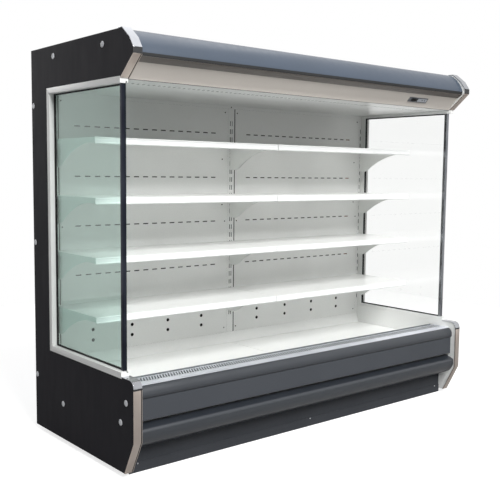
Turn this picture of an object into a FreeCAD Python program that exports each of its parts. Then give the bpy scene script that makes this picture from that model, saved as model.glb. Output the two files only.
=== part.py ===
import FreeCAD, Part
import math
import os
import Sketcher
from FreeCAD import Vector

# Open multideck display fridge: two bays side by side, four shelf levels over a sunken deck.
# Millimetres. X runs along the length, -Y is the open front, +Z is up.
# The origin is on the floor under the middle of the case.
# The drawing is lifted to it by the stand height as the files are written.
# Profiles are drawn in the YZ plane and run along X.

SIZES = {
    # overall
    "caseLength": 2500,
    "caseDepth": 1060,
    "caseHeight": 2080,
    # the drawing's zero stands this far above the floor; the feet and the kick plate reach down to it
    "standHeight": 20,
    # end walls: screw cap, outer sheet, insulated core
    "capProud": 2.5,
    "panelSkin": 2.5,
    "wallThick": 41,
    "wallSheet": 1,
    "floorGap": 4,
    "trimThick": 3,
    "trimOverlap": 2,
    "trimProud": 1.5,
    # canopy end outline, from the nose of the wall and the top of the case
    "trimTopReach": 130,
    "canopyTopSet": 96,
    "shoulderSet": 32,
    "shoulderDrop": 50,
    "noseDrop": 97,
    "noseHeight": 27,
    "canopyLipSet": 112,
    "canopyDrop": 223,
    # lower front outline
    "sillHeight": 465,
    "bumperSet": 8,
    "sillRadius": 35,
    "bumperFoot": 172,
    "footSet": 93,
    "sillTrimReach": 115,
    "joinerHeight": 9,
    # side window
    "windowBackSet": 14,
    "frameWidth": 24,
    "frameLip": 6,
    "frameInset": 2,
    "glassInset": 28.5,
    "glassThick": 8,
    "glassBite": 10,
    "glassGap": 0.2,
    "gasketWidth": 7,
    "gasketThick": 3.5,
    "postSize": 22,
    "postRound": 3,
    "postBite": 7.5,
    "postSet": 134.5,
    "postShift": 2.5,
    "capRadius": 15.5,
    "capTopRadius": 12,
    "capDrop": 55,
    "capHighDrop": 296,
    "capMiddleRise": 572,
    "capLowDrop": 170,
    "capRearSet": 20,
    "capBackSet": 265,
    "capFrontSet": 278,
    "capBaseSet": 334,
    "capBaseDrop": 269,
    "capNoseSet": 77,
    "capNoseDrop": 115,
    "capFootSet": 127,
    "capFootDrop": 219,
    # rear wall, air duct and back panels
    "rearWallThick": 80,
    "ductDepth": 96.5,
    "panelSheet": 1.5,
    "roofTopDrop": 30,
    "roofThick": 60,
    "roofFrontSet": 199,
    "ceilingDrop": 229,
    "ceilingFlange": 20,
    "jointGap": 0.3,
    "backBottom": 412,
    "dashMargin": 140,
    "dashCount": 16,
    "dashRows": 4,
    "dashLength": 34,
    "dashHeight": 6,
    "lowestDash": 857,
    "dashRise": 273,
    "portRadius": 10,
    "portPitch": 250,
    "portCount": 4,
    "lowerPort": 481,
    "portRise": 60,
    # uprights and brackets
    "uprightWidth": 50,
    "endUprightWidth": 25,
    "uprightSheet": 2,
    "slotPitch": 50,
    "slotLength": 29,
    "slotWidth": 5,
    "lowestSlot": 540,
    "slotColumn": 7,
    "endColumnSet": 9,
    "bracketThick": 2,
    "bracketHook": 6,
    "hookTall": 16,
    "bracketHeight": 150,
    "bracketToe": 50,
    "bracketHeel": 34,
    "bracketHeelRise": 14,
    "bracketTip": 22,
    "bracketReach": 422,
    "bracketArc": 561,
    # shelves
    "shelfLevels": 4,
    "lowestShelf": 700,
    "shelfRise": 300,
    "shelfDepth": 451,
    "shelfGap": 2,
    "shelfSheet": 2,
    "shelfFlange": 28,
    "railHeight": 35,
    "railDepth": 10,
    "railLip": 3,
    "railSlot": 2.5,
    "railHeel": 5,
    "railToe": 4,
    "railGrip": 7,
    # deck
    "deckHeight": 345,
    "deckSkirt": 20,
    "deckFrontSet": 216,
    "deckSheet": 1.5,
    "notchRadius": 7,
    "coveDepth": 14,
    "coveFoot": 22,
    "deckClear": 2,
    # front air return and bumpers
    "ledgeHeight": 429.5,
    "grilleThick": 3,
    "grilleFrontSet": 108.5,
    "grilleDepth": 76.5,
    "grilleSlotWidth": 5,
    "grilleSlotLength": 55,
    "grillePitch": 24,
    "grilleCount": 98,
    "grilleLean": 20,
    "grilleRest": 30,
    "deckRest": 22,
    "restSheet": 3,
    # bumper outlines: set back from the nose of the wall, drop below the ledge
    "bumperSheet": 2.5,
    "ledgeSet": 58,
    "ledgeBevel": 8,
    "ledgeLip": 4,
    "creaseDrop": 66,
    "creaseSet": 41.5,
    "topNoseSet": 32.5,
    "topNoseDrop": 41.5,
    "topRadius": 40,
    "noseRadius": 26,
    "faceSet": 40.6,
    "gapDrop": 170.5,
    "gapHeight": 18,
    "lowTopSet": 60,
    "lowBevelSet": 27,
    "lowBevelDrop": 201.5,
    "lowNoseSet": 13.6,
    "lowNoseDrop": 223.5,
    "lowNoseRadius": 18,
    "lowFaceHeight": 14,
    "lowTurnSet": 47.4,
    "lowTurnDrop": 289.5,
    "lowTurnRadius": 90,
    "lowEndDrop": 328,
    # canopy outlines: set back from the nose of the wall, drop below its top
    "fasciaSheet": 2,
    "fasciaRadius": 170,
    "fasciaFlange": 87,
    "fasciaTopSet": 119,
    "fasciaTopDrop": 2,
    "fasciaNoseSet": 16.5,
    "fasciaNoseDrop": 113,
    "fasciaEndSet": 18,
    "fasciaEndDrop": 128,
    "stripStartSet": 19.2,
    "stripStartDrop": 130,
    "stripBendSet": 39,
    "stripBendDrop": 144.5,
    "stripEndSet": 56,
    "stripEndDrop": 152,
    "stripHem": 15,
    "slopeSet": 56.5,
    "slopeDrop": 151.7,
    "slopeRun": 54.5,
    "slopeFall": 60,
    "slopeHem": 14.7,
    "slopeEndSet": 115.5,
    "outletSet": 117,
    "outletWidth": 8,
    "outletLength": 20,
    "outletEndRadius": 5,
    "outletPitch": 30,
    "outletCount": 80,
    "outletDepth": 210,
    "outletRowSet": 141,
    # base
    "tubBottom": 125,
    "tubFloor": 50,
    "tubFrontSet": 90,
    "tubWall": 40,
    "tubRimDrop": 9.5,
    "frameBottom": 60,
    "railSide": 40,
    "railWall": 2.5,
    "kickSet": 130,
    "kickHem": 6,
    "kickBandHeight": 31,
    "kickFloorGap": 1,
    "kickBandProud": 4,
    "padRadius": 18,
    "padHeight": 12,
    "stemRadius": 6,
    "stemPlay": 0.05,
    "stemTop": 110,
    "nutRadius": 11,
    "nutHeight": 8,
    "footEnd": 70,
    # fans, coil and pipes
    "fanCount": 3,
    "fanPitch": 800,
    "fanHole": 64,
    "fanRadius": 58,
    "fanHeight": 248,
    "hubRadius": 22,
    "hubLength": 25,
    "bladeCount": 5,
    "bladeWidth": 28,
    "bladeSheet": 2,
    "bladePitch": 50,
    "fanSet": 3,
    "shaftTail": 22,
    "shaftRadius": 4,
    "shaftPlay": 0.05,
    "motorRadius": 28,
    "motorLength": 46,
    "armHeight": 14,
    "armSheet": 3,
    "armOverlap": 12,
    "plenumSet": 470,
    "coilSet": 560,
    "coilDepth": 280,
    "coilHalf": 1050,
    "coilClear": 12,
    "coilTopClear": 20,
    "coilEndSheet": 2,
    "coilEndSet": 10,
    "coilEndLift": 6,
    "tubeEnd": 20,
    "tubeRows": 4,
    "tubeStacks": 3,
    "finCount": 29,
    "finThick": 1.5,
    "tubeRadius": 8,
    "suctionRadius": 14,
    "liquidRadius": 6,
    "suctionSet": 90,
    "liquidSet": 55,
    "suctionBend": 45,
    "liquidBend": 20,
    "pipeTopDrop": 2,
    "pipeHolePlay": 1,
    "drainRadius": 20,
    "drainBend": 30,
    "drainSet": 330,
    "drainDrop": 35,
    "drainEndSet": 10,
    "drainAcross": 625,
    "terminalLength": 220,
    "terminalDepth": 130,
    "terminalHeight": 24,
    "terminalSet": 60,
    "glandRadius": 9,
    "glandLength": 24,
    # controller
    "panelAcross": 843,
    "panelWidth": 176,
    "panelHeight": 34,
    "panelDownSlope": 43,
    "panelProud": 3,
    "panelSeat": 0.05,
    "panelRim": 6,
    "housingPlay": 0.5,
    "housingDepth": 22,
    "buttonRadius": 4,
    "buttonLength": 6,
    "buttonProud": 1.5,
    "buttonDepth": 4,
    "buttonGap": 0.3,
    "firstButton": 38,
    "buttonPitch": 24,
    "screwRadius": 4,
    "screwHead": 1.8,
    "screwSet": 24,
    "screwEndSet": 46,
    "screwLowRise": 32,
    "screwMiddle": 1127,
    "screwLower": 1232,
    "screwUpper": 1516,
    "screwSideSet": 70,
    "kickScrewDrop": 6,
}

doc = FreeCAD.newDocument("multideck")
sheet = doc.addObject("Spreadsheet::Sheet", "dims")
for row, (alias, value) in enumerate(SIZES.items(), start=1):
    sheet.set(f"A{row}", alias)
    sheet.set(f"B{row}", str(value))
    sheet.setAlias(f"B{row}", alias)
doc.recompute()

# places that many pieces share, written with the names above
REAR = "(caseDepth/2)"
NOSE = "(-caseDepth/2 + trimThick)"
TOP = "(caseHeight - trimThick)"
SKIN_OUT = "(caseLength/2 - capProud)"
SKIN_IN = "(caseLength/2 - capProud - panelSkin)"
INSIDE = "(caseLength/2 - capProud - panelSkin - wallThick)"
BACK = "(caseDepth/2 - rearWallThick - ductDepth - panelSheet)"
WALL_FACE = "(caseDepth/2 - rearWallThick)"
OPEN_TOP = "(caseHeight - canopyDrop)"
OPEN_BACK = f"({BACK} - windowBackSet)"
CEILING = "(caseHeight - ceilingDrop)"
DECK_FRONT = "(-caseDepth/2 + deckFrontSet)"
GLASS_OUT = f"({SKIN_OUT} - glassInset)"
GLASS_IN = f"({SKIN_OUT} - glassInset - glassThick)"
POST_FRONT = "(-caseDepth/2 + postSet)"
TUB_FRONT = "(-caseDepth/2 + tubFrontSet)"
TUB_FLOOR = "(tubBottom + tubFloor)"


def tied(expression):
    """The expression with each sheet name in it pointed at the sheet."""
    out, word = "", ""
    for letter in expression + " ":
        if letter.isalnum():
            word += letter
            continue
        out += ("dims." + word if word in SIZES else word) + letter
        word = ""
    return out.strip()


probe = doc.addObject("Part::Box", "probe")


def number(expression):
    return float(probe.evalExpression(tied(expression)))


def count_of(alias):
    return int(number(alias))


def set_back(y, z):
    """Point measured back from the nose of the wall and down from its top."""
    return f"{NOSE} + {y}", f"{TOP} - {z}"


def under_ledge(y, z):
    """Point measured back from the nose of the wall and down from the ledge."""
    return f"{NOSE} + {y}", f"ledgeHeight - {z}"


def bind(thing, path, expression):
    thing.setExpression(path, tied(expression))


def place(thing, x="0", y="0", z="0"):
    bind(thing, "Placement.Base.x", x)
    bind(thing, "Placement.Base.y", y)
    bind(thing, "Placement.Base.z", z)


TURNS = {
    "x": FreeCAD.Rotation(Vector(0, 1, 0), 90),
    "y": FreeCAD.Rotation(Vector(1, 0, 0), -90),
    "z": FreeCAD.Rotation(),
}


def block(name, size, corner):
    box = doc.addObject("Part::Box", name)
    for path, expression in zip(("Length", "Width", "Height"), size):
        bind(box, path, expression)
    place(box, *corner)
    return box


def rod(name, radius, length, start, along="z"):
    cylinder = doc.addObject("Part::Cylinder", name)
    bind(cylinder, "Radius", radius)
    bind(cylinder, "Height", length)
    cylinder.Placement.Rotation = TURNS[along]
    place(cylinder, *start)
    return cylinder


def cut(name, base, tools):
    tool = tools[0] if len(tools) == 1 else gather(name + "_tools", tools)
    result = doc.addObject("Part::Cut", name)
    result.Base = base
    result.Tool = tool
    return result


def fuse(name, pieces):
    result = doc.addObject("Part::MultiFuse", name)
    result.Shapes = pieces
    return result


def gather(name, pieces):
    """Several solids under one name."""
    group = doc.addObject("Part::Compound", name)
    group.Links = pieces
    return group


def mirrored(name, source):
    """The same piece at the other end of the case."""
    twin = doc.addObject("Part::Mirroring", name)
    twin.Source = source
    twin.Normal = Vector(1, 0, 0)
    twin.Base = Vector(0, 0, 0)
    return twin


def centre_of(a, b, radius, turn):
    """Centre of the arc from a to b. A turn of 1 keeps it on the left of the way, -1 on the right."""
    half = (b - a) * 0.5
    rise = math.sqrt(max(radius * radius - half.Length ** 2, 0.0))
    side = Vector(-half.y, half.x, 0).normalize()
    return a + half + side * (rise * turn)


def draw(sketch, corners):
    """Closed outline. A corner is (u, v), or (u, v, radius, turn) where an arc leads to the next one."""
    spots = [Vector(number(corner[0]), number(corner[1]), 0) for corner in corners]
    first = len(sketch.Geometry)
    ends = []
    for index, corner in enumerate(corners):
        a, b = spots[index], spots[(index + 1) % len(spots)]
        if len(corner) == 2:
            sketch.addGeometry(Part.LineSegment(a, b))
            ends.append((1, 2))
            continue
        radius, turn = number(corner[2]), corner[3]
        centre = centre_of(a, b, radius, turn)
        start, stop = (a, b) if turn > 0 else (b, a)
        angles = [math.atan2(p.y - centre.y, p.x - centre.x) for p in (start, stop)]
        circle = Part.Circle(centre, Vector(0, 0, 1), radius)
        sketch.addGeometry(Part.ArcOfCircle(circle, angles[0], angles[1]))
        ends.append((1, 2) if turn > 0 else (2, 1))
    for index, corner in enumerate(corners):
        here, before = first + index, first + (index - 1) % len(corners)
        last_end, first_end = ends[index - 1][1], ends[index][0]
        sketch.addConstraint(Sketcher.Constraint("Coincident", before, last_end, here, first_end))
        for kind, axis, expression, value in (
            ("DistanceX", -2, corner[0], spots[index].x),
            ("DistanceY", -1, corner[1], spots[index].y),
        ):
            if abs(value) < 1e-9:
                sketch.addConstraint(Sketcher.Constraint("PointOnObject", here, ends[index][0], axis))
                continue
            made = sketch.addConstraint(Sketcher.Constraint(kind, -1, 1, here, ends[index][0], value))
            sketch.renameConstraint(made, f"{kind}{here}")
            bind(sketch, f"Constraints.{kind}{here}", expression)
        if len(corner) == 4:
            made = sketch.addConstraint(Sketcher.Constraint("Radius", here, number(corner[2])))
            sketch.renameConstraint(made, f"Radius{here}")
            bind(sketch, f"Constraints.Radius{here}", corner[2])


def rectangle(left, low, right, high):
    return [(left, low), (right, low), (right, high), (left, high)]


def sketch_on(body, role, name):
    sketch = body.newObject("Sketcher::SketchObject", name)
    plane = [feature for feature in body.Origin.OriginFeatures if feature.Role == role][0]
    sketch.AttachmentSupport = [(plane, "")]
    sketch.MapMode = "FlatFace"
    return sketch


def solid(name, role, corners, thickness):
    """A body padded from one outline on one of its own origin planes."""
    body = doc.addObject("PartDesign::Body", name)
    sketch = sketch_on(body, role, name + "_outline")
    draw(sketch, corners)
    pad = body.newObject("PartDesign::Pad", name + "_pad")
    pad.Profile = sketch
    bind(pad, "Length", thickness)
    return body


def bar(name, corners, length, start):
    """A profile in YZ that runs along X from start."""
    body = solid(name, "YZ_Plane", corners, length)
    bind(body, "Placement.Base.x", start)
    return body


def long_bar(name, corners):
    """A profile that runs from end wall to end wall."""
    return bar(name, corners, f"2*{INSIDE}", f"-{INSIDE}")


def insulated(name, corners, length, start):
    """Bar of sheet all round a space for foam. The corners go anticlockwise."""
    outside = bar(name + "_outside", corners, length, start)
    foam = bar(name + "_foam", inset(corners, "wallSheet", closed=True), f"{length} - 2*wallSheet",
               f"{start} + wallSheet")
    return cut(name, outside, [foam])


def pierce(body, role, outlines, circles=(), repeat=None):
    """Cuts outlines and circles right through, and repeats them along X where asked."""
    doc.recompute()
    before = body.Shape.Volume
    sketch = sketch_on(body, role, body.Name + "_cuts")
    for corners in outlines:
        draw(sketch, corners)
    for u, v, radius in circles:
        circle = Part.Circle(Vector(number(u), number(v), 0), Vector(0, 0, 1), number(radius))
        made = sketch.addGeometry(circle)
        for kind, axis, expression in (("DistanceX", -2, u), ("DistanceY", -1, v)):
            if abs(number(expression)) < 1e-9:
                sketch.addConstraint(Sketcher.Constraint("PointOnObject", made, 3, axis))
                continue
            held = sketch.addConstraint(Sketcher.Constraint(kind, -1, 1, made, 3, number(expression)))
            sketch.renameConstraint(held, f"{kind}{made}")
            bind(sketch, f"Constraints.{kind}{made}", expression)
        held = sketch.addConstraint(Sketcher.Constraint("Radius", made, number(radius)))
        sketch.renameConstraint(held, f"Radius{made}")
        bind(sketch, f"Constraints.Radius{made}", radius)
    pocket = body.newObject("PartDesign::Pocket", body.Name + "_pocket")
    pocket.Profile = sketch
    pocket.Type = "ThroughAll"
    pocket.Midplane = True
    doc.recompute()
    if repeat:
        pitch, count = repeat
        pattern = body.newObject("PartDesign::LinearPattern", body.Name + "_row")
        pattern.Originals = [pocket]
        pattern.Direction = (sketch, ["H_Axis"])
        bind(pattern, "Length", f"{pitch}*({count} - 1)")
        bind(pattern, "Occurrences", count)
        body.Tip = pattern
        doc.recompute()
    assert body.Shape.Volume < before - 1, body.Name
    return body


def directions(spots, corners):
    """Unit directions at both ends of each step of a run."""
    ways = []
    for a, b, corner in zip(spots, spots[1:], corners):
        if len(corner) == 2:
            way = (b - a).normalize()
            ways.append((way, way))
            continue
        centre = centre_of(a, b, number(corner[2]), corner[3])
        ends = [Vector(centre.y - p.y, p.x - centre.x, 0).normalize() * corner[3] for p in (a, b)]
        ways.append(tuple(ends))
    return ways


def inset(corners, gap, closed=False):
    """The run moved to the left of its way by gap."""
    spots = [Vector(number(corner[0]), number(corner[1]), 0) for corner in corners]
    ways = directions(spots + spots[:1] if closed else spots, corners)
    moved = []
    for index, corner in enumerate(corners):
        into = ways[index - 1][1] if index or closed else ways[0][0]
        out = ways[index][0] if index < len(ways) else into
        left = Vector(-into.y - out.y, into.x + out.x, 0)
        left *= 1.0 / (1.0 + into.dot(out))
        u = f"{corner[0]} + {left.x:.5f}*{gap}"
        v = f"{corner[1]} + {left.y:.5f}*{gap}"
        if len(corner) == 4:
            sign = "-" if corner[3] > 0 else "+"
            moved.append((u, v, f"{corner[2]} {sign} {gap}", corner[3]))
        else:
            moved.append((u, v))
    return moved


def backwards(corners):
    """The same open run from its far end."""
    turned = []
    for index in range(len(corners) - 1, -1, -1):
        step = corners[index - 1] if index else ()
        turned.append(corners[index][:2] + ((step[2], -step[3]) if len(step) == 4 else ()))
    return turned


def folded(corners, gap):
    """Closed outline of a sheet of thickness gap that follows the run on its left side."""
    return corners + backwards(inset(corners, gap))


def moved_by(corners, y, z):
    return [(f"{corner[0]} + {y}", f"{corner[1]} + {z}") + tuple(corner[2:]) for corner in corners]


nodes = []


def keep(*pieces):
    nodes.extend(pieces)


# ---------------------------------------------------------------- end walls and panels
canopy_edge = [
    (f"{NOSE} + trimTopReach", TOP),
    (f"{NOSE} + canopyTopSet", TOP),
    (f"{NOSE} + shoulderSet", f"{TOP} - shoulderDrop"),
    (NOSE, f"{TOP} - noseDrop"),
    (NOSE, f"{TOP} - noseDrop - noseHeight"),
    (f"{NOSE} + canopyLipSet", OPEN_TOP),
]
sill_edge = [
    (f"{NOSE} + sillTrimReach", "sillHeight"),
    (f"{NOSE} + bumperSet + sillRadius", "sillHeight", "sillRadius", 1),
    (f"{NOSE} + bumperSet", "sillHeight - sillRadius"),
    (f"{NOSE} + bumperSet", "sillHeight - sillRadius - joinerHeight"),
    (f"{NOSE} + bumperSet", "bumperFoot"),
    (f"{NOSE} + footSet", "floorGap"),
]
end_outline = (
    [(REAR, "floorGap"), (REAR, TOP)]
    + canopy_edge[1:]
    + [(OPEN_BACK, OPEN_TOP), (OPEN_BACK, "sillHeight")]
    + sill_edge[1:3]
    + sill_edge[4:]
)
wall = insulated("end_wall", end_outline, "wallThick", INSIDE)
keep(gather("end_walls", [wall, mirrored("end_wall_twin", wall)]))
skin = bar("end_panel_right", end_outline, "panelSkin", SKIN_IN)
keep(skin, mirrored("end_panel_left", skin))

TRIM_START = f"{INSIDE} - trimOverlap"
TRIM_LENGTH = f"wallThick + panelSkin + trimOverlap + trimProud"


def trim(name, run):
    """A strip bent round the front edge of the end wall, outside it."""
    outside = inset(run, "(-trimThick)")
    return bar(name, run + backwards(outside), TRIM_LENGTH, TRIM_START)


def both_ends(name, pieces):
    return gather(name, pieces + [mirrored(piece.Name + "_twin", piece) for piece in pieces])


canopy_trims = [trim("canopy_trim_upper", canopy_edge[:4]), trim("canopy_trim_lower", canopy_edge[4:])]
keep(both_ends("canopy_end_trims", canopy_trims))
bumper_trims = [trim("bumper_trim_corner", sill_edge[:3]), trim("bumper_trim_strip", sill_edge[3:])]
keep(both_ends("bumper_end_trims", bumper_trims))
joiners = [trim("joiner_nose", canopy_edge[3:5]), trim("joiner_sill", sill_edge[2:4])]
keep(both_ends("trim_joiners", joiners))

# round caps over the screws that hold the outer sheet, as (y, z)
cap_spots = [
    (f"{REAR} - capBackSet", f"{TOP} - capDrop"),
    (f"{NOSE} + capFrontSet", f"{TOP} - capDrop"),
    (f"{REAR} - capRearSet", f"{TOP} - capHighDrop"),
    (f"{REAR} - capRearSet", "sillHeight + capMiddleRise"),
    (f"{REAR} - capRearSet", "sillHeight - capLowDrop"),
    (f"{REAR} - capBaseSet", "sillHeight - capBaseDrop"),
    (f"{NOSE} + capNoseSet", "sillHeight - capNoseDrop"),
    (f"{NOSE} + capFootSet", "sillHeight - capFootDrop"),
]
caps = []
for count, (y, z) in enumerate(cap_spots):
    cap = doc.addObject("Part::Cone", f"cap_{count}")
    bind(cap, "Radius1", "capRadius")
    bind(cap, "Radius2", "capTopRadius")
    bind(cap, "Height", "capProud")
    cap.Placement.Rotation = TURNS["x"]
    place(cap, SKIN_OUT, y, z)
    caps.append(cap)
keep(both_ends("screw_caps", caps))

# ---------------------------------------------------------------- side windows
WINDOW_FRONT = f"{NOSE} + sillTrimReach"


def window_band(outer, inner):
    """U of the window, open to the front: edges moved outwards by outer, then inwards by inner."""
    back_out, back_in = f"{OPEN_BACK} + {outer}", f"{OPEN_BACK} - {inner}"
    top_out, top_in = f"{OPEN_TOP} + {outer}", f"{OPEN_TOP} - {inner}"
    low_out, low_in = f"sillHeight - {outer}", f"sillHeight + {inner}"
    return top_out, top_in, low_out, low_in, back_out, back_in


def window_u(outer, inner, front):
    top_out, top_in, low_out, low_in, back_out, back_in = window_band(outer, inner)
    return [
        (front, top_out), (back_out, top_out), (back_out, low_out), (front, low_out),
        (front, low_in), (back_in, low_in), (back_in, top_in), (front, top_in),
    ]


frame_start = f"{INSIDE} + frameInset"
frame_depth = f"{SKIN_OUT} + trimProud - {INSIDE} - frameInset"
frame_inner = bar("frame_body", window_u("0", "frameWidth", WINDOW_FRONT), frame_depth, frame_start)
frame_lip = bar("frame_lip", window_u("frameLip", "frameWidth", WINDOW_FRONT), "trimProud", SKIN_OUT)
frame_whole = fuse("frame_whole", [frame_inner, frame_lip])
pane_low = "(sillHeight + frameWidth - glassBite)"
pane_high = f"({OPEN_TOP} - frameWidth + glassBite)"
pane_back = f"({OPEN_BACK} - frameWidth + glassBite)"
pane_front = f"({POST_FRONT} + postSize - postBite)"
groove = block(
    "frame_groove",
    ("glassThick + 2*glassGap", "2*caseDepth", f"{pane_high} - {pane_low} + 2*glassGap"),
    (f"{GLASS_IN} - glassGap", f"{pane_back} + glassGap - 2*caseDepth", f"{pane_low} - glassGap"),
)
frame = cut("window_frame", frame_whole, [groove])
keep(both_ends("window_frames", [frame]))
pane = block(
    "pane",
    ("glassThick", f"{pane_back} - {pane_front}", f"{pane_high} - {pane_low}"),
    (GLASS_IN, pane_front, pane_low),
)
keep(both_ends("side_glass", [pane]))

gasket_front = f"{POST_FRONT} + postSize"
gaskets = [
    bar("gasket_inner", window_u("(-frameWidth)", "(frameWidth + gasketWidth)", gasket_front),
        "gasketThick", f"{GLASS_IN} - gasketThick"),
    bar("gasket_outer", window_u("(-frameWidth)", "(frameWidth + gasketWidth)", gasket_front),
        "gasketThick", GLASS_OUT),
]
keep(both_ends("glass_gaskets", gaskets))

POST_MIDDLE = f"(({GLASS_IN} + {GLASS_OUT})/2 + postShift)"
post_low, post_high = "(sillHeight + frameWidth)", f"({OPEN_TOP} - frameWidth)"
post_body = solid(
    "post_body",
    "XY_Plane",
    [
        (f"{POST_MIDDLE} - postSize/2", POST_FRONT),
        (f"{POST_MIDDLE} + postSize/2", POST_FRONT),
        (f"{POST_MIDDLE} + postSize/2", f"{POST_FRONT} + postSize"),
        (f"{POST_MIDDLE} - postSize/2", f"{POST_FRONT} + postSize"),
    ],
    f"{post_high} - {post_low}",
)
place(post_body, z=post_low)
doc.recompute()
upright_edges = [
    f"Edge{index}"
    for index, edge in enumerate(post_body.Shape.Edges, start=1)
    if abs(edge.tangentAt(edge.FirstParameter).z) > 0.9
]
post_pad = post_body.Tip
rounding = post_body.newObject("PartDesign::Fillet", "post_round")
rounding.Base = (post_pad, upright_edges)
bind(rounding, "Radius", "postRound")
post_slot = block(
    "post_slot",
    ("glassThick + 2*glassGap", "postSize", f"{post_high} - {post_low} + 2"),
    (f"{GLASS_IN} - glassGap", f"{pane_front} - glassGap", f"{post_low} - 1"),
)
keep(both_ends("glass_posts", [cut("post", post_body, [post_slot])]))

# ---------------------------------------------------------------- canopy
flange_y = f"{NOSE} + fasciaTopSet + fasciaFlange"
fascia_run = [
    (flange_y, "caseHeight - roofTopDrop"),
    (flange_y, f"{TOP} - fasciaTopDrop"),
    set_back("fasciaTopSet", "fasciaTopDrop") + ("fasciaRadius", 1),
    set_back("fasciaNoseSet", "fasciaNoseDrop"),
    set_back("fasciaEndSet", "fasciaEndDrop"),
]
keep(long_bar("canopy_fascia", folded(fascia_run, "fasciaSheet")))
strip_run = [
    set_back("stripStartSet", "stripStartDrop"),
    set_back("stripBendSet", "stripBendDrop"),
    set_back("stripEndSet", "stripEndDrop"),
    set_back("stripEndSet", "stripEndDrop + stripHem"),
]
keep(long_bar("canopy_trim_strip", folded(strip_run, "fasciaSheet")))
slope_top = set_back("slopeSet", "slopeDrop")
underside_run = [
    (slope_top[0], f"{slope_top[1]} + slopeHem"),
    slope_top,
    (f"{slope_top[0]} + slopeRun", f"{slope_top[1]} - slopeFall"),
    (f"{NOSE} + slopeEndSet", f"{CEILING} + fasciaSheet"),
]
underside = long_bar("underside_sheet", folded(underside_run, "panelSheet"))

slope_run, slope_fall = number("slopeRun"), number("slopeFall")
slope_length = math.hypot(slope_run, slope_fall)
slope_turn = FreeCAD.Rotation(Vector(1, 0, 0), -math.degrees(math.atan2(slope_fall, slope_run)))


def on_slope(thing, across, down, outwards):
    """Turns a thing to the sloped panel: its own X along the case, Y down the slope, Z into the canopy."""
    thing.Placement.Rotation = slope_turn
    run, fall = slope_run / slope_length, slope_fall / slope_length
    place(
        thing,
        across,
        f"{slope_top[0]} + ({down})*{run:.12f} - ({outwards})*{fall:.12f}",
        f"{slope_top[1]} - ({down})*{fall:.12f} - ({outwards})*{run:.12f}",
    )
    return thing


def slope_block(name, margin, depth, outwards):
    """Block behind the controller's face, smaller than the face by margin on each side."""
    size = (f"panelWidth - 2*({margin})", f"panelHeight - 2*({margin})", depth)
    across = f"panelAcross - panelWidth/2 + {margin}"
    down = f"panelDownSlope - panelHeight/2 + {margin}"
    return on_slope(block(name, size, ("0", "0", "0")), across, down, outwards)


def slope_rod(name, radius, length, across, outwards):
    return on_slope(rod(name, radius, length, ("0", "0", "0")), across, "panelDownSlope", outwards)


window_cut = slope_block("controller_cutout", "panelRim", "2*housingDepth", "housingDepth")
keep(cut("canopy_underside_panel", underside, [window_cut]))
bezel = slope_block("bezel", "0", "panelProud", "panelProud + panelSeat")
housing = slope_block("housing", "panelRim + housingPlay", "housingDepth", "panelSeat")
buttons, sockets = [], []
for count in range(2):
    across = f"panelAcross + firstButton + {count}*buttonPitch"
    buttons.append(slope_rod(f"controller_button_{count + 1}", "buttonRadius", "buttonLength", across,
                             "panelProud + buttonProud"))
    sockets.append(slope_rod(f"button_socket_{count + 1}", "buttonRadius + buttonGap",
                             "panelProud + 2*buttonDepth", across, "panelProud + buttonDepth"))
keep(cut("controller_body", fuse("controller_whole", [bezel, housing]), sockets))
keep(*buttons)

outlet_front, outlet_back = f"({NOSE} + outletSet)", f"({NOSE} + outletSet + outletDepth)"
outlet = solid("air_outlet_panel", "XY_Plane", rectangle(f"-{INSIDE}", outlet_front, INSIDE, outlet_back),
               "panelSheet")
place(outlet, z=CEILING)
row_start = "-outletPitch*(outletCount - 1)/2"
slot_front = f"{outlet_front} + outletRowSet - outletLength/2"
slot_back = f"{outlet_front} + outletRowSet + outletLength/2"
oblong = [
    (f"{row_start} - outletWidth/2", slot_front, "outletEndRadius", 1),
    (f"{row_start} + outletWidth/2", slot_front),
    (f"{row_start} + outletWidth/2", slot_back, "outletEndRadius", 1),
    (f"{row_start} - outletWidth/2", slot_back),
]
pierce(outlet, "XY_Plane", [oblong], repeat=("outletPitch", "outletCount"))
keep(outlet)
ceiling_run = [(f"{outlet_back} + jointGap", CEILING), (BACK, CEILING), (BACK, f"{CEILING} - ceilingFlange")]
keep(long_bar("ceiling_panel", folded(ceiling_run, "panelSheet")))

# ---------------------------------------------------------------- back panels and uprights
BACK_TOP = f"({CEILING} - ceilingFlange - jointGap)"
BAY = INSIDE
levels = [f"(lowestShelf + {level}*shelfRise)" for level in range(count_of("shelfLevels"))]


back_left = "(uprightWidth/2 + jointGap)"
back_right = f"({INSIDE} - endUprightWidth - 2*jointGap)"
back_panel = solid("back_panel_right", "XZ_Plane", rectangle(back_left, "backBottom", back_right, BACK_TOP),
                   "panelSheet")
place(back_panel, y=f"{BACK} + panelSheet")
dash_pitch = f"(({BAY} - 2*dashMargin)/(dashCount - 1))"
dashes = []
for row in range(count_of("dashRows")):
    height = f"(lowestDash + {row}*dashRise)"
    dashes.append(rectangle("dashMargin - dashLength/2", f"{height} - dashHeight/2",
                            "dashMargin + dashLength/2", f"{height} + dashHeight/2"))
pierce(back_panel, "XZ_Plane", dashes, repeat=(dash_pitch, "dashCount"))
first_port = f"({BAY}/2 - portPitch*(portCount - 1)/2)"
ports = [(first_port, "lowerPort", "portRadius"), (first_port, "lowerPort + portRise", "portRadius")]
pierce(back_panel, "XZ_Plane", [], ports, ("portPitch", "portCount"))
keep(back_panel, mirrored("back_panel_left", back_panel))

cove_run = [
    (f"{BACK} + jointGap", "backBottom - jointGap"),
    (f"{BACK} - coveDepth", "deckHeight + deckClear"),
    (f"{BACK} - coveDepth", "deckHeight - deckSkirt"),
    (f"{BACK} - coveDepth - coveFoot", "deckHeight - deckSkirt"),
]
keep(long_bar("back_cove_strip", folded(cove_run, "panelSheet")))

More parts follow.
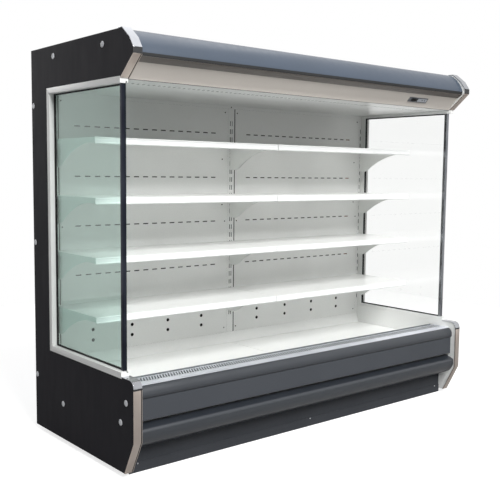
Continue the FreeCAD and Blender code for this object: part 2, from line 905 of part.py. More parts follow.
slot_count = int((number(BACK_TOP) - number("lowestSlot")) // number("slotPitch"))


def channel(name, middle, width, columns):
    """Upright: a web at the front with its slots, and two flanges back to the rear wall."""
    web, back = BACK, WALL_FACE
    left, right = f"({middle} - {width}/2)", f"({middle} + {width}/2)"
    corners = [
        (left, web), (right, web), (right, back), (f"{right} - uprightSheet", back),
        (f"{right} - uprightSheet", f"{web} + uprightSheet"),
        (f"{left} + uprightSheet", f"{web} + uprightSheet"),
        (f"{left} + uprightSheet", back), (left, back),
    ]
    body = solid(name, "XY_Plane", corners, f"{BACK_TOP} - backBottom")
    place(body, z="backBottom")
    slots = []
    for column in columns:
        for step in range(slot_count):
            low = f"(lowestSlot + {step}*slotPitch - slotLength/2)"
            slots.append(block(
                f"{name}_slot_{len(slots)}",
                ("slotWidth", "4*uprightSheet", "slotLength"),
                (f"{middle} + {column} - slotWidth/2", f"{web} - uprightSheet", low),
            ))
    return cut(name + "_slotted", body, slots)


end_middle = f"({INSIDE} - jointGap - endUprightWidth/2)"
end_column = f"(endUprightWidth/2 + jointGap - endColumnSet)"
middle_upright = channel("middle_upright", "0", "uprightWidth", ["slotColumn", "(-slotColumn)"])
end_upright = channel("end_upright", end_middle, "endUprightWidth", [end_column])
keep(gather("slotted_uprights", [middle_upright, end_upright, mirrored("end_upright_twin", end_upright)]))

bracket_lines = {"middle": "slotColumn", "end": f"({INSIDE} - endColumnSet)"}
brackets = []
for level, top in enumerate(levels):
    under = f"({top} - shelfSheet)"
    tip = f"({BACK} - bracketReach)"
    outline = [(BACK, f"{top} - bracketHeight")]
    for hook_low in (f"({under} - slotPitch - hookTall)", f"({under} - hookTall)"):
        outline += [(BACK, hook_low), (f"{BACK} + bracketHook", hook_low),
                    (f"{BACK} + bracketHook", f"{hook_low} + hookTall"), (BACK, f"{hook_low} + hookTall")]
    outline[-1:] = [
        (tip, under),
        (tip, f"{under} - bracketTip", "bracketArc", -1),
        (f"{BACK} - bracketToe - bracketHeel", f"{top} - bracketHeight + bracketHeelRise"),
        (f"{BACK} - bracketToe", f"{top} - bracketHeight"),
    ]
    for place_name, line in bracket_lines.items():
        bracket = bar(f"bracket_{place_name}_{level}", outline, "bracketThick", f"{line} - bracketThick/2")
        brackets += [bracket, mirrored(f"{bracket.Name}_twin", bracket)]
keep(gather("shelf_brackets", brackets))

# ---------------------------------------------------------------- shelves
shelf_back = f"({BACK} - jointGap)"
shelf_front = f"({shelf_back} - shelfDepth + railDepth)"
# price rail: flat back, a lip along the top and a toe along the bottom that hold a paper strip
rail_face = [
    ("0", "0"),
    ("0", "-railHeight + railHeel"),
    ("-railLip", "-railHeight + railHeel"),
    ("-railLip", "-railHeight"),
    ("-2*railLip", "-railHeight"),
    ("-railDepth", "-railHeight + railToe"),
    ("-railDepth", "-railHeight + 2*railToe"),
    ("-railDepth + railSlot", "-railHeight + 2*railToe + 1"),
    ("-railDepth + railSlot", "-railGrip"),
    ("-railDepth", "-railGrip + 1"),
    ("-railDepth", "-railLip"),
    ("-railDepth + railLip", "0"),
]
for level, top in enumerate(levels):
    number_down = len(levels) - level
    width = f"{INSIDE} - 2*shelfGap"
    depth = f"{shelf_back} - {shelf_front}"
    outer = block(f"board_{level}", (width, depth, "shelfFlange"),
                  ("shelfGap", shelf_front, f"{top} - shelfFlange"))
    hollow = block(
        f"board_hollow_{level}",
        (f"{width} - 2*shelfSheet", depth, "shelfFlange"),
        ("shelfGap + shelfSheet", f"{shelf_front} + shelfSheet", f"{top} - shelfFlange - shelfSheet"),
    )
    board = cut(f"board_sheet_{level}", outer, [hollow])
    rail = bar(f"price_rail_{level}", moved_by(rail_face, shelf_front, top), width, "shelfGap")
    right = gather(f"shelf_{number_down}_right", [board, rail])
    keep(right, mirrored(f"shelf_{number_down}_left", right))

# ---------------------------------------------------------------- deck, front duct and grille
deck_back = f"({BACK} - coveDepth - deckClear)"
deck_width = f"({INSIDE} - 2*shelfGap)"
deck_depth = f"({deck_back} - {DECK_FRONT})"
pan = block("pan", (deck_width, deck_depth, "deckSkirt"), ("shelfGap", DECK_FRONT, "deckHeight - deckSkirt"))
hollow = block("pan_hollow", (f"{deck_width} - 2*deckSheet", f"{deck_depth} - 2*deckSheet", "deckSkirt"),
               ("shelfGap + deckSheet", f"{DECK_FRONT} + deckSheet", "deckHeight - deckSkirt - deckSheet"))
notches = [
    rod(f"notch_{count}", "notchRadius", "2*deckSkirt",
        (f"{first_port} + {count}*portPitch", deck_back, "deckHeight - 1.5*deckSkirt"))
    for count in range(SIZES["portCount"])
]
deck_right = cut("deck_pan_right", pan, [hollow] + notches)
keep(deck_right, mirrored("deck_pan_left", deck_right))

duct_front = f"({DECK_FRONT} - deckClear - panelSheet)"
GRILLE_LOW = "(ledgeHeight - jointGap - grilleThick)"
rest_front = f"({TUB_FRONT} + tubWall + jointGap)"
duct_wall = block("duct_wall", (f"2*{INSIDE}", "panelSheet", f"{GRILLE_LOW} + grilleThick - {TUB_FLOOR}"),
                  (f"-{INSIDE}", duct_front, TUB_FLOOR))
deck_rest = block("deck_rest", (f"2*{INSIDE}", "deckRest", "panelSheet"),
                  (f"-{INSIDE}", f"{duct_front} + panelSheet", "deckHeight - deckSkirt - panelSheet"))
rests = [duct_wall, deck_rest]
rest_end = f"({INSIDE} - 4*restSheet)"
for count, middle in enumerate([f"(-{rest_end})", f"(-{INSIDE}/2)", "0", f"({INSIDE}/2)", rest_end]):
    rests.append(block(
        f"grille_rest_{count}",
        ("restSheet", f"{duct_front} - {rest_front}", "grilleRest"),
        (f"{middle} - restSheet/2", rest_front, f"{GRILLE_LOW} - grilleRest"),
    ))
keep(fuse("front_duct_panel", rests))

grille_front = "(-caseDepth/2 + grilleFrontSet)"
grille_middle = f"({grille_front} + grilleDepth/2)"
grille = solid("return_grille", "XY_Plane",
               rectangle(f"-{INSIDE} + 1", grille_front, f"{INSIDE} - 1", f"{grille_front} + grilleDepth"),
               "grilleThick")
place(grille, z=GRILLE_LOW)
first_slot = "-grillePitch*(grilleCount - 1)/2"
slot_corners = [
    (f"{first_slot} - grilleSlotWidth/2 - grilleLean/2", f"{grille_middle} - grilleSlotLength/2"),
    (f"{first_slot} + grilleSlotWidth/2 - grilleLean/2", f"{grille_middle} - grilleSlotLength/2"),
    (f"{first_slot} + grilleSlotWidth/2 + grilleLean/2", f"{grille_middle} + grilleSlotLength/2"),
    (f"{first_slot} - grilleSlotWidth/2 + grilleLean/2", f"{grille_middle} + grilleSlotLength/2"),
]
pierce(grille, "XY_Plane", [slot_corners], repeat=("grillePitch", "grilleCount"))
keep(grille)

# ---------------------------------------------------------------- bumpers and kick plate
LEDGE_BACK = f"({grille_front} - jointGap)"
RIM = "(ledgeHeight - tubRimDrop)"
ledge_low = "ledgeHeight - bumperSheet"
keep(long_bar("bumper_ledge", [
    (LEDGE_BACK, "ledgeHeight"), (f"{NOSE} + ledgeSet + ledgeBevel", "ledgeHeight"),
    (f"{NOSE} + ledgeSet", "ledgeHeight - ledgeLip/2"), (f"{NOSE} + ledgeSet", "ledgeHeight - ledgeLip"),
    (f"{NOSE} + ledgeSet + ledgeBevel", ledge_low), (f"{TUB_FRONT} + restSheet", ledge_low),
    (f"{TUB_FRONT} + restSheet", RIM), (f"{LEDGE_BACK} - restSheet", RIM),
    (f"{LEDGE_BACK} - restSheet", ledge_low), (LEDGE_BACK, ledge_low),
]))
CREASE = "(ledgeHeight - creaseDrop)"
top_run = [
    under_ledge("ledgeSet", "ledgeLip - jointGap") + ("topRadius", 1),
    under_ledge("topNoseSet", "topNoseDrop") + ("noseRadius", 1),
    under_ledge("creaseSet", "creaseDrop"),
    (TUB_FRONT, CREASE),
]
keep(long_bar("bumper_top_profile", folded(top_run, "bumperSheet")))
GAP_TOP = "(ledgeHeight - gapDrop)"
GAP_LOW = "(ledgeHeight - gapDrop - gapHeight)"
face_run = [
    (TUB_FRONT, f"{CREASE} - jointGap"), (f"{NOSE} + faceSet", f"{CREASE} - jointGap"),
    (f"{NOSE} + faceSet", GAP_TOP), (TUB_FRONT, GAP_TOP),
]
keep(long_bar("bumper_face_panel", folded(face_run, "bumperSheet")))
KICK = "(-caseDepth/2 + kickSet)"
low_run = [
    (TUB_FRONT, GAP_LOW),
    (f"{NOSE} + lowTopSet", GAP_LOW),
    under_ledge("lowBevelSet", "lowBevelDrop") + ("lowNoseRadius", 1),
    under_ledge("lowNoseSet", "lowNoseDrop"),
    under_ledge("lowNoseSet", "lowNoseDrop - lowFaceHeight") + ("lowTurnRadius", 1),
    under_ledge("lowTurnSet", "lowTurnDrop"),
    (f"{KICK} - jointGap", "ledgeHeight - lowEndDrop"),
]
keep(long_bar("bumper_lower_profile", folded(low_run, "bumperSheet")))
kick_run = [
    (KICK, "ledgeHeight - lowEndDrop - jointGap"),
    (KICK, "kickBandHeight"),
    (f"{KICK} - kickBandProud", "kickBandHeight"),
    (f"{KICK} - kickBandProud", "kickFloorGap - standHeight"),
    (f"{KICK} - kickBandProud + kickHem", "kickFloorGap - standHeight"),
]
keep(long_bar("kick_plate", folded(kick_run, "panelSheet")))

# ---------------------------------------------------------------- insulated base, rear wall and roof
drain_y = "(-caseDepth/2 + drainSet)"
tub_outline = [
    (WALL_FACE, "tubBottom"), (TUB_FRONT, "tubBottom"), (TUB_FRONT, RIM), (f"{TUB_FRONT} + tubWall", RIM),
    (f"{TUB_FRONT} + tubWall", TUB_FLOOR), (WALL_FACE, TUB_FLOOR),
]
tub = insulated("tub_body", backwards(tub_outline), f"2*{INSIDE}", f"-{INSIDE}")
drain_hole = rod("drain_hole", "drainRadius + glassGap", "3*tubFloor",
                 ("drainAcross", drain_y, "tubBottom - tubFloor"))
keep(cut("base_tub", tub, [drain_hole]))
roof_top, roof_low = "(caseHeight - roofTopDrop)", "(caseHeight - roofTopDrop - roofThick)"
roof_front = f"({NOSE} + roofFrontSet)"
keep(insulated("rear_wall", rectangle(WALL_FACE, "tubBottom", REAR, roof_top), f"2*{INSIDE}", f"-{INSIDE}"))
roof_outline = rectangle(roof_front, roof_low, WALL_FACE, roof_top)
roof = insulated("roof_slab", roof_outline, f"2*{INSIDE}", f"-{INSIDE}")
pipe_y = f"({WALL_FACE} - ductDepth/2)"
suction_x, liquid_x = "(coilHalf + suctionSet)", "(coilHalf + liquidSet)"
pipe_holes = [
    rod("suction_hole", "suctionRadius + pipeHolePlay", "2*roofThick",
        (suction_x, pipe_y, f"{roof_low} - roofThick/2")),
    rod("liquid_hole", "liquidRadius + pipeHolePlay", "2*roofThick",
        (liquid_x, pipe_y, f"{roof_low} - roofThick/2")),
]
keep(cut("roof_panel", roof, pipe_holes))

rail_front = f"({KICK} + panelSheet)"
rail_back = f"({WALL_FACE} + railWall)"
rail_height = "(tubBottom - frameBottom)"


def tube_rail(name, size, corner, along):
    """Square tube, open at the ends that lie along its run."""
    outer = block(name, size, corner)
    wall_cut = ["railWall", "railWall", "railWall"]
    wall_cut[along] = "(-1)"
    inner = block(
        name + "_bore",
        tuple(f"{length} - 2*{gap}" for length, gap in zip(size, wall_cut)),
        tuple(f"{start} + {gap}" for start, gap in zip(corner, wall_cut)),
    )
    return outer, inner


frame_length = f"2*{INSIDE}"
front_rail = tube_rail("front_rail", (frame_length, "railSide", rail_height),
                       (f"-{INSIDE}", rail_front, "frameBottom"), 0)
back_rail = tube_rail("back_rail", (frame_length, "railSide", rail_height),
                      (f"-{INSIDE}", rail_back, "frameBottom"), 0)
foot_across = [f"(-{INSIDE} + footEnd)", "0", f"({INSIDE} - footEnd)"]
foot_rows = {"front": f"({rail_front} + railSide/2)", "rear": f"({rail_back} + railSide/2)"}
cross_rails = []
for count, middle in enumerate(foot_across):
    corner = (f"{middle} - railSide/2", f"{rail_front} + railSide", "frameBottom")
    size = ("railSide", f"{rail_back} - {rail_front} - railSide", rail_height)
    outer, inner = tube_rail(f"cross_rail_{count}", size, corner, 1)
    cross_rails.append(cut(f"cross_rail_tube_{count}", outer, [inner]))
stem_holes = []
for row_name, middle_y in foot_rows.items():
    for count, middle in enumerate(foot_across):
        stem_holes.append(rod(f"stem_hole_{row_name}_{count}", "stemRadius + stemPlay", "4*railWall",
                              (middle, middle_y, "frameBottom - railWall")))
front_tube = cut("front_rail_tube", front_rail[0], [front_rail[1]] + stem_holes[:3])
back_tube = cut("back_rail_tube", back_rail[0], [back_rail[1]] + stem_holes[3:])
keep(gather("base_frame", [front_tube, back_tube] + cross_rails))

for row_name, middle_y in foot_rows.items():
    for side, middle in zip(("left", "middle", "right"), foot_across):
        name = f"foot_{row_name}_{side}"
        on_floor = (middle, middle_y, "-standHeight")
        pad_disc = rod(name + "_pad", "padRadius", "padHeight", on_floor)
        stem = rod(name + "_stem", "stemRadius", "stemTop + standHeight", on_floor)
        nut = doc.addObject("Part::Prism", name + "_nut")
        nut.Polygon = 6
        bind(nut, "Circumradius", "nutRadius")
        bind(nut, "Height", "nutHeight")
        place(nut, middle, middle_y, "frameBottom - nutHeight")
        keep(fuse(name, [pad_disc, stem, nut]))

# ---------------------------------------------------------------- air circuit
PLENUM = "(-caseDepth/2 + plenumSet)"
fan_names = ["left", "middle", "right"]
fan_across = ["(-fanPitch)", "0", "fanPitch"]
plenum = block("plenum_plate", (f"2*({INSIDE} - jointGap)", "panelSheet",
                                f"deckHeight - deckSkirt - restSheet - {TUB_FLOOR}"),
               (f"-({INSIDE} - jointGap)", PLENUM, TUB_FLOOR))
fan_holes = [
    rod(
        f"fan_hole_{name}", "fanHole", "4*panelSheet",
        (middle, f"{PLENUM} - 2*panelSheet", "fanHeight"), "y",
    )
    for name, middle in zip(fan_names, fan_across)
]
keep(cut("fan_plenum", plenum, fan_holes))


def fan_motor(name, middle):
    """Motor can on a flat arm behind the plate, with a bore for the shaft."""
    behind = f"({PLENUM} + panelSheet)"
    arm = block(f"motor_arm_{name}", ("2*(fanHole + armOverlap)", "armSheet", "armHeight"),
                (f"{middle} - fanHole - armOverlap", behind, "fanHeight - armHeight/2"))
    can = rod(f"motor_can_{name}", "motorRadius", "motorLength",
              (middle, f"{behind} + armSheet", "fanHeight"), "y")
    bore = rod(f"motor_bore_{name}", "shaftRadius + shaftPlay", "shaftTail + 2*armSheet",
               (middle, f"{behind} - panelSheet", "fanHeight"), "y")
    return cut(f"motor_{name}", fuse(f"motor_whole_{name}", [arm, can]), [bore])


def fan_rotor(name, middle):
    """Hub, shaft and pitched blades, trimmed to the fan's radius."""
    front = f"({PLENUM} - fanSet - hubLength)"
    pieces = [
        rod(f"hub_{name}", "hubRadius", "hubLength", (middle, front, "fanHeight"), "y"),
        rod(f"shaft_{name}", "shaftRadius", "hubLength + shaftTail", (middle, front, "fanHeight"), "y"),
    ]
    pitch = number("bladePitch")
    sink = number("bladeWidth") * math.cos(math.radians(pitch)) / 2
    for step in range(count_of("bladeCount")):
        blade = block(f"blade_{name}_{step}", ("fanRadius", "bladeSheet", "bladeWidth"), ("0", "0", "0"))
        spin = FreeCAD.Rotation(Vector(0, 1, 0), step * 360 / number("bladeCount"))
        blade.Placement.Rotation = spin.multiply(FreeCAD.Rotation(Vector(1, 0, 0), pitch))
        shift = spin.multVec(Vector(0, 0, -sink))
        place(blade, f"{middle} + {shift.x:.4f}", f"{front} + hubLength - bladeSheet",
              f"fanHeight + {shift.z:.4f}")
        pieces.append(blade)
    limit = rod(f"fan_limit_{name}", "fanRadius", "hubLength + shaftTail", (middle, front, "fanHeight"), "y")
    rotor = doc.addObject("Part::MultiCommon", f"fan_rotor_{name}")
    rotor.Shapes = [fuse(f"rotor_whole_{name}", pieces), limit]
    return rotor


motors = []
for name, middle in zip(fan_names, fan_across):
    motors.append(fan_motor(name, middle))
    keep(fan_rotor(name, middle))
keep(gather("fan_motors", motors))

COIL = "(-caseDepth/2 + coilSet)"
coil_low, coil_high = f"({TUB_FLOOR} + coilClear)", "(deckHeight - deckSkirt - coilTopClear)"
coil_tall = f"({coil_high} - {coil_low})"
coil_parts = []
for side in ("-1", "1"):
    coil_parts.append(block(
        f"coil_end_{len(coil_parts)}",
        ("coilEndSheet", "coilDepth + 2*coilEndSet", f"{coil_high} + coilEndLift - {TUB_FLOOR}"),
        (f"{side}*(coilHalf + coilClear) - coilEndSheet/2", f"{COIL} - coilEndSet", TUB_FLOOR),
    ))
for step in range(count_of("finCount")):
    across = f"(-coilHalf + {step}*2*coilHalf/(finCount - 1))"
    coil_parts.append(block(f"fin_{step}", ("finThick", "coilDepth", coil_tall),
                            (f"{across} - finThick/2", COIL, coil_low)))


def tube_place(row, stack):
    """Centre of a coil tube, counted from the front row and the lowest stack."""
    y = f"({COIL} + coilDepth*({row} + 0.5)/tubeRows)"
    return y, f"({coil_low} + {coil_tall}*({stack} + 0.5)/tubeStacks)"


for row in range(count_of("tubeRows")):
    for stack in range(count_of("tubeStacks")):
        coil_parts.append(rod(f"coil_tube_{row}_{stack}", "tubeRadius", "2*(coilHalf + tubeEnd)",
                              ("-coilHalf - tubeEnd",) + tube_place(row, stack), "x"))
keep(fuse("evaporator_coil", coil_parts))


def bent_pipe(name, spots, radius, bend):
    """Round pipe along straight runs joined by tangent arcs."""
    points = [Vector(*[number(value) for value in spot]) for spot in spots]
    size = number(bend)
    edges, start = [], points[0]
    for before, corner, after in zip(points, points[1:], points[2:]):
        into, out = (corner - before).normalize(), (after - corner).normalize()
        reach = size * math.tan(into.getAngle(out) / 2)
        arc_start, arc_end = corner - into * reach, corner + out * reach
        middle_way = (out - into).normalize()
        centre = corner + middle_way * (size / math.cos(into.getAngle(out) / 2))
        edges.append(Part.LineSegment(start, arc_start).toShape())
        edges.append(Part.Arc(arc_start, centre - middle_way * size, arc_end).toShape())
        start = arc_end
    edges.append(Part.LineSegment(start, points[-1]).toShape())
    path = Part.Wire(edges)
    first_way = (points[1] - points[0]).normalize()
    ring = Part.Wire([Part.Circle(points[0], first_way, number(radius)).toShape()])
    pipe = doc.addObject("Part::Feature", name)
    pipe.Shape = path.makePipeShell([ring], True, False)
    return pipe


PIPE_TOP = "caseHeight - pipeTopDrop"
last_row, last_stack = count_of("tubeRows") - 1, count_of("tubeStacks") - 1


def riser(name, radius, bend, across, row, stack):
    """Pipe from a tube end out to the side, back into the rear duct and up through the roof."""
    y, z = tube_place(row, stack)
    return bent_pipe(name, [
        ("coilHalf + tubeEnd", y, z), (across, y, z), (across, pipe_y, z), (across, pipe_y, PIPE_TOP),
    ], radius, bend)


suction = riser("suction_pipe", "suctionRadius", "suctionBend", suction_x, last_row - 1, last_stack)
liquid = riser("liquid_pipe", "liquidRadius", "liquidBend", liquid_x, last_row - 2, 0)
drain = bent_pipe("drain_pipe", [
    ("drainAcross", drain_y, TUB_FLOOR),
    ("drainAcross", drain_y, "tubBottom - drainDrop"),
    ("drainAcross", f"{WALL_FACE} - drainEndSet", "tubBottom - drainDrop"),
], "drainRadius", "drainBend")
keep(gather("pipework", [suction, liquid, drain]))

terminal_y = f"({WALL_FACE} - terminalSet - terminalDepth)"
terminal = block("terminal_box", ("terminalLength", "terminalDepth", "terminalHeight"),
                 ("-terminalLength/2", terminal_y, roof_top))
gland = rod("terminal_gland", "glandRadius", "glandLength",
            ("terminalLength/2", f"{terminal_y} + terminalDepth/2", f"{roof_top} + terminalHeight/2"), "x")
keep(fuse("electrical_box", [terminal, gland]))

# ---------------------------------------------------------------- visible screws
screws = []


def screw(x, y, z):
    """Pan head that stands forward of a face at y."""
    screws.append(rod(f"screw_{len(screws)}", "screwRadius", "screwHead", (x, f"{y} - screwHead", z), "y"))


gap_middle = f"({GAP_TOP} + {GAP_LOW})/2"
band_y, band_z = f"{KICK} - kickBandProud", "kickBandHeight - kickScrewDrop"
for x in ("-2*screwSet", "2*screwSet", f"-({INSIDE} - screwEndSet)", f"{INSIDE} - screwEndSet"):
    for z in ("backBottom + screwLowRise", "screwMiddle", f"{BACK_TOP} - screwSet"):
        screw(x, BACK, z)
for x in ("-screwSideSet", f"{INSIDE} - screwSideSet"):
    for z in ("screwLower", "screwUpper"):
        screw(x, BACK, z)
for side in ("(-1)", "1"):
    screw(f"{side}*({INSIDE} - 2*screwSet)", band_y, band_z)
    screw(f"{side}*({INSIDE} - 2*screwSet)", TUB_FRONT, gap_middle)
    screw(f"{side}*({INSIDE}/3)", TUB_FRONT, gap_middle)
screw("0", BACK, f"{CEILING} - ceilingFlange/2")
screw("0", band_y, band_z)
keep(gather("panel_screws", screws))

# ---------------------------------------------------------------- checks and files
lift = Vector(0, 0, number("standHeight"))
doc.removeObject("probe")
doc.recompute()
for thing in doc.Objects:
    assert not {"Invalid", "Error"} & set(thing.State), (thing.Name, thing.State)
for node in nodes:
    assert not node.Shape.isNull() and node.Shape.isValid(), node.Label

os.makedirs("parts", exist_ok=True)
for node in nodes:
    shape = node.Shape.copy()
    shape.translate(lift)
    shape.exportStep(f"parts/{node.Label}.step")
print(len(nodes), "parts written")
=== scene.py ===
import bpy
from math import cos, radians, sin
from mathutils import Matrix, Vector


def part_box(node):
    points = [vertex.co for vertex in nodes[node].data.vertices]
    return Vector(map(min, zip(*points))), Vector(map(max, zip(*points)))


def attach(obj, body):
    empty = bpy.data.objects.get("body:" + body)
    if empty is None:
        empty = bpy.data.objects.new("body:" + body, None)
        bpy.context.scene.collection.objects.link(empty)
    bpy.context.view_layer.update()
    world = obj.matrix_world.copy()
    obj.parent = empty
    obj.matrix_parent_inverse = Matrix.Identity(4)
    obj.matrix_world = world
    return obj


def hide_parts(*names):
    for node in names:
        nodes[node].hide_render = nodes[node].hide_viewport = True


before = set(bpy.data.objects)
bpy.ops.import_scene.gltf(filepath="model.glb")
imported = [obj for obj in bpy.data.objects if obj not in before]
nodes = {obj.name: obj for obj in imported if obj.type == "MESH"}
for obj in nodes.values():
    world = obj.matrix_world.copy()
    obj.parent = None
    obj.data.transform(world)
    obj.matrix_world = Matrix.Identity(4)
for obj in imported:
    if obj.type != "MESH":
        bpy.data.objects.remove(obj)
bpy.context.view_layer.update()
mm = 0.001
mergeDistance = 0.01 * mm
sharpAngle = 35  # degrees past which a fold counts as an edge
domeAngle = 40  # the same on small domed heads
flatAngle = 0.2  # degrees under which triangles count as one flat face
sameWay = 0.9  # unit vectors whose product is above this point the same way
sameHalf = 0.5  # and above this they are less than 60 degrees apart
print("frame loaded:", len(nodes), "CAD nodes")


# small tools for materials
def hexColour(code):
    channels = [int(code[start:start + 2], 16) / 255 for start in (1, 3, 5)]
    return [c / 12.92 if c <= 0.04045 else ((c + 0.055) / 1.055) ** 2.4 for c in channels] + [1]


def perMm(size):  # texture scale whose features are this many millimetres wide
    return 1000 / size


def addNode(tree, kind, settings=None, links=None):
    node = tree.nodes.new("ShaderNode" + kind)
    for key, value in (settings or {}).items():
        if key == "stops":
            ramp = node.color_ramp
            for count, (position, code) in enumerate(value):
                stop = ramp.elements[count] if count < 2 else ramp.elements.new(position)
                stop.position = position
                stop.color = hexColour(code)
        elif isinstance(key, str) and key[0].islower():
            setattr(node, key, value)
        else:
            node.inputs[key].default_value = value
    for key, (source, output) in (links or {}).items():
        tree.links.new(source.outputs[output], node.inputs[key])
    return node


def startMaterial(name, settings):
    material = bpy.data.materials.new(name)
    material.use_nodes = True
    tree = material.node_tree
    tree.nodes.clear()
    surface = addNode(tree, "BsdfPrincipled", settings)
    addNode(tree, "OutputMaterial", {}, {"Surface": (surface, "BSDF")})
    place = addNode(tree, "TexCoord")
    return material, tree, surface, place


# what the materials share: a tint that wanders between two near colours, a gloss and a relief
def tintSurface(tree, surface, pattern, finish, source, output):
    stops = [(pattern["shadeAt"], finish["shade"]), (pattern["colourAt"], finish["colour"])]
    tint = addNode(tree, "ValToRGB", {"stops": stops}, {"Fac": (source, output)})
    tree.links.new(tint.outputs["Color"], surface.inputs["Base Color"])


def glossSurface(tree, surface, smoothest, roughest, source, output):  # most noise lies from 0.3 to 0.7
    limits = {1: 0.3, 2: 0.7, 3: smoothest, 4: roughest}
    sheen = addNode(tree, "MapRange", limits, {0: (source, output)})
    tree.links.new(sheen.outputs[0], surface.inputs["Roughness"])


def bumpSurface(tree, surface, strength, depth, source, output):  # depth in mm
    bump = addNode(tree, "Bump", {"Strength": strength, "Distance": depth * mm},
                   {"Height": (source, output)})
    tree.links.new(bump.outputs["Normal"], surface.inputs["Normal"])


# sprayed and baked paint on sheet steel: a faint cloudiness, an orange peel about 2 mm across in
# the gloss, and cloth marks up and down in the sheen, drawn 30 mm wide so that they show
paintPattern = {"cloud": 420, "speck": 9, "speckShare": 0.3, "shadeAt": 0.36, "colourAt": 0.62,
                "wipe": 30, "wipeAlong": (1, 1, 0.18), "smoother": 0.03, "rougher": 0.05,
                "peel": 2, "peelDepth": 0.05, "clearRough": 0.08}


def sprayedPaint(name, coat):
    settings = {"IOR": coat["ior"], "Specular IOR Level": coat["shine"], "Coat Weight": coat["clear"],
                "Coat Roughness": paintPattern["clearRough"]}
    material, tree, surface, place = startMaterial(name, settings)
    cloud = addNode(tree, "TexNoise", {"Scale": perMm(paintPattern["cloud"]), "Detail": 3.0},
                    {"Vector": (place, "Object")})
    speck = addNode(tree, "TexNoise", {"Scale": perMm(paintPattern["speck"]), "Detail": 4.0},
                    {"Vector": (place, "Object")})
    blend = addNode(tree, "Mix", {"data_type": "FLOAT", 0: paintPattern["speckShare"]},
                    {2: (cloud, "Fac"), 3: (speck, "Fac")})
    tintSurface(tree, surface, paintPattern, coat, blend, 0)
    wipe = addNode(tree, "Mapping", {"Scale": paintPattern["wipeAlong"]}, {"Vector": (place, "Object")})
    smear = addNode(tree, "TexNoise", {"Scale": perMm(paintPattern["wipe"]), "Detail": 5.0},
                    {"Vector": (wipe, "Vector")})
    glossSurface(tree, surface, coat["rough"] - paintPattern["smoother"],
                 coat["rough"] + paintPattern["rougher"], smear, "Fac")
    peel = addNode(tree, "TexNoise", {"Scale": perMm(paintPattern["peel"]), "Detail": 1.0},
                   {"Vector": (place, "Object")})
    bumpSurface(tree, surface, coat["peel"], paintPattern["peelDepth"], peel, "Fac")
    return material


# powder coat is a matt charcoal that keeps its colour from every side
powderCharcoal = sprayedPaint("powderCoatedSteelCharcoal", {
    "colour": "#2a292d", "shade": "#28272b", "rough": 0.58, "shine": 0.05, "ior": 1.5, "clear": 0.0,
    "peel": 0.25})
powderKick = sprayedPaint("powderCoatedSteelKickPlate", {
    "colour": "#3a3c40", "shade": "#36383c", "rough": 0.5, "shine": 0.1, "ior": 1.5, "clear": 0.0,
    "peel": 0.25})
powderFace = sprayedPaint("powderCoatedSteelSlate", {
    "colour": "#42454a", "shade": "#3f4247", "rough": 0.42, "shine": 0.2, "ior": 1.5, "clear": 0.0,
    "peel": 0.2})
# stoved slate enamel is smooth enough to carry a soft mirror of the room
slateEnamel = sprayedPaint("stovedEnamelSteelSlate", {
    "colour": "#3e4856", "shade": "#3b4552", "rough": 0.34, "shine": 0.45, "ior": 1.5, "clear": 0.1,
    "peel": 0.1})
# glossy white enamel picks up grey from its corners and light from the front
whiteEnamel = sprayedPaint("stovedEnamelSteelWhite", {
    "colour": "#f1f2f0", "shade": "#eaebe9", "rough": 0.33, "shine": 0.5, "ior": 1.5, "clear": 0.1,
    "peel": 0.12})
deckEnamel = sprayedPaint("stovedEnamelSteelDeck", {
    "colour": "#f7f8f6", "shade": "#f2f3f1", "rough": 0.32, "shine": 0.5, "ior": 1.5, "clear": 0.2,
    "peel": 0.12})
# the hidden side of the interior sheets is dark primer, painted shade that makes their slots and holes look
# black
primerPaintedShade = sprayedPaint("primedSteelPaintedShade", {
    "colour": "#242526", "shade": "#202122", "rough": 0.6, "shine": 0.1, "ior": 1.5, "clear": 0.0,
    "peel": 0.2})
# satin paint on the light panel and on the strip in front of it
beigePaint = sprayedPaint("satinPaintedSteelBeige", {
    "colour": "#bfb9b2", "shade": "#bbb5ae", "rough": 0.4, "shine": 0.4, "ior": 1.48, "clear": 0.0,
    "peel": 0.15})
brownPaint = sprayedPaint("satinPaintedSteelBrown", {
    "colour": "#5c5651", "shade": "#57514c", "rough": 0.38, "shine": 0.4, "ior": 1.48, "clear": 0.0,
    "peel": 0.15})


# rolled or drawn metal: grain lines along one direction and a sheen that wanders a little
metalPattern = {"cloud": 160, "cloudShare": 0.5, "shadeAt": 0.3, "colourAt": 0.66, "grainDepth": 0.03}


def grainedMetal(name, finish):
    material, tree, surface, place = startMaterial(name, {"Metallic": 1.0, "Anisotropic": finish["pull"]})
    squeeze = addNode(tree, "Mapping", {"Scale": finish["along"]}, {"Vector": (place, "Object")})
    grain = addNode(tree, "TexNoise", {"Scale": perMm(finish["grain"]), "Detail": 4.0},
                    {"Vector": (squeeze, "Vector")})
    cloud = addNode(tree, "TexNoise", {"Scale": perMm(metalPattern["cloud"]), "Detail": 3.0},
                    {"Vector": (place, "Object")})
    tintSurface(tree, surface, metalPattern, finish, cloud, "Fac")
    blend = addNode(tree, "Mix", {"data_type": "FLOAT", 0: metalPattern["cloudShare"]},
                    {2: (grain, "Fac"), 3: (cloud, "Fac")})
    glossSurface(tree, surface, finish["smooth"], finish["rough"], blend, 0)
    bumpSurface(tree, surface, finish["bump"], metalPattern["grainDepth"], grain, "Fac")
    return material


# mirror polished stainless: near black and near white side by side, hardly any grain left
polishedStainless = grainedMetal("polishedStainlessSteel", {
    "colour": "#b4b6ba", "shade": "#a6a8ad", "smooth": 0.06, "rough": 0.14, "bump": 0.05, "pull": 0.0,
    "grain": 3, "along": (1, 1, 0.05)})
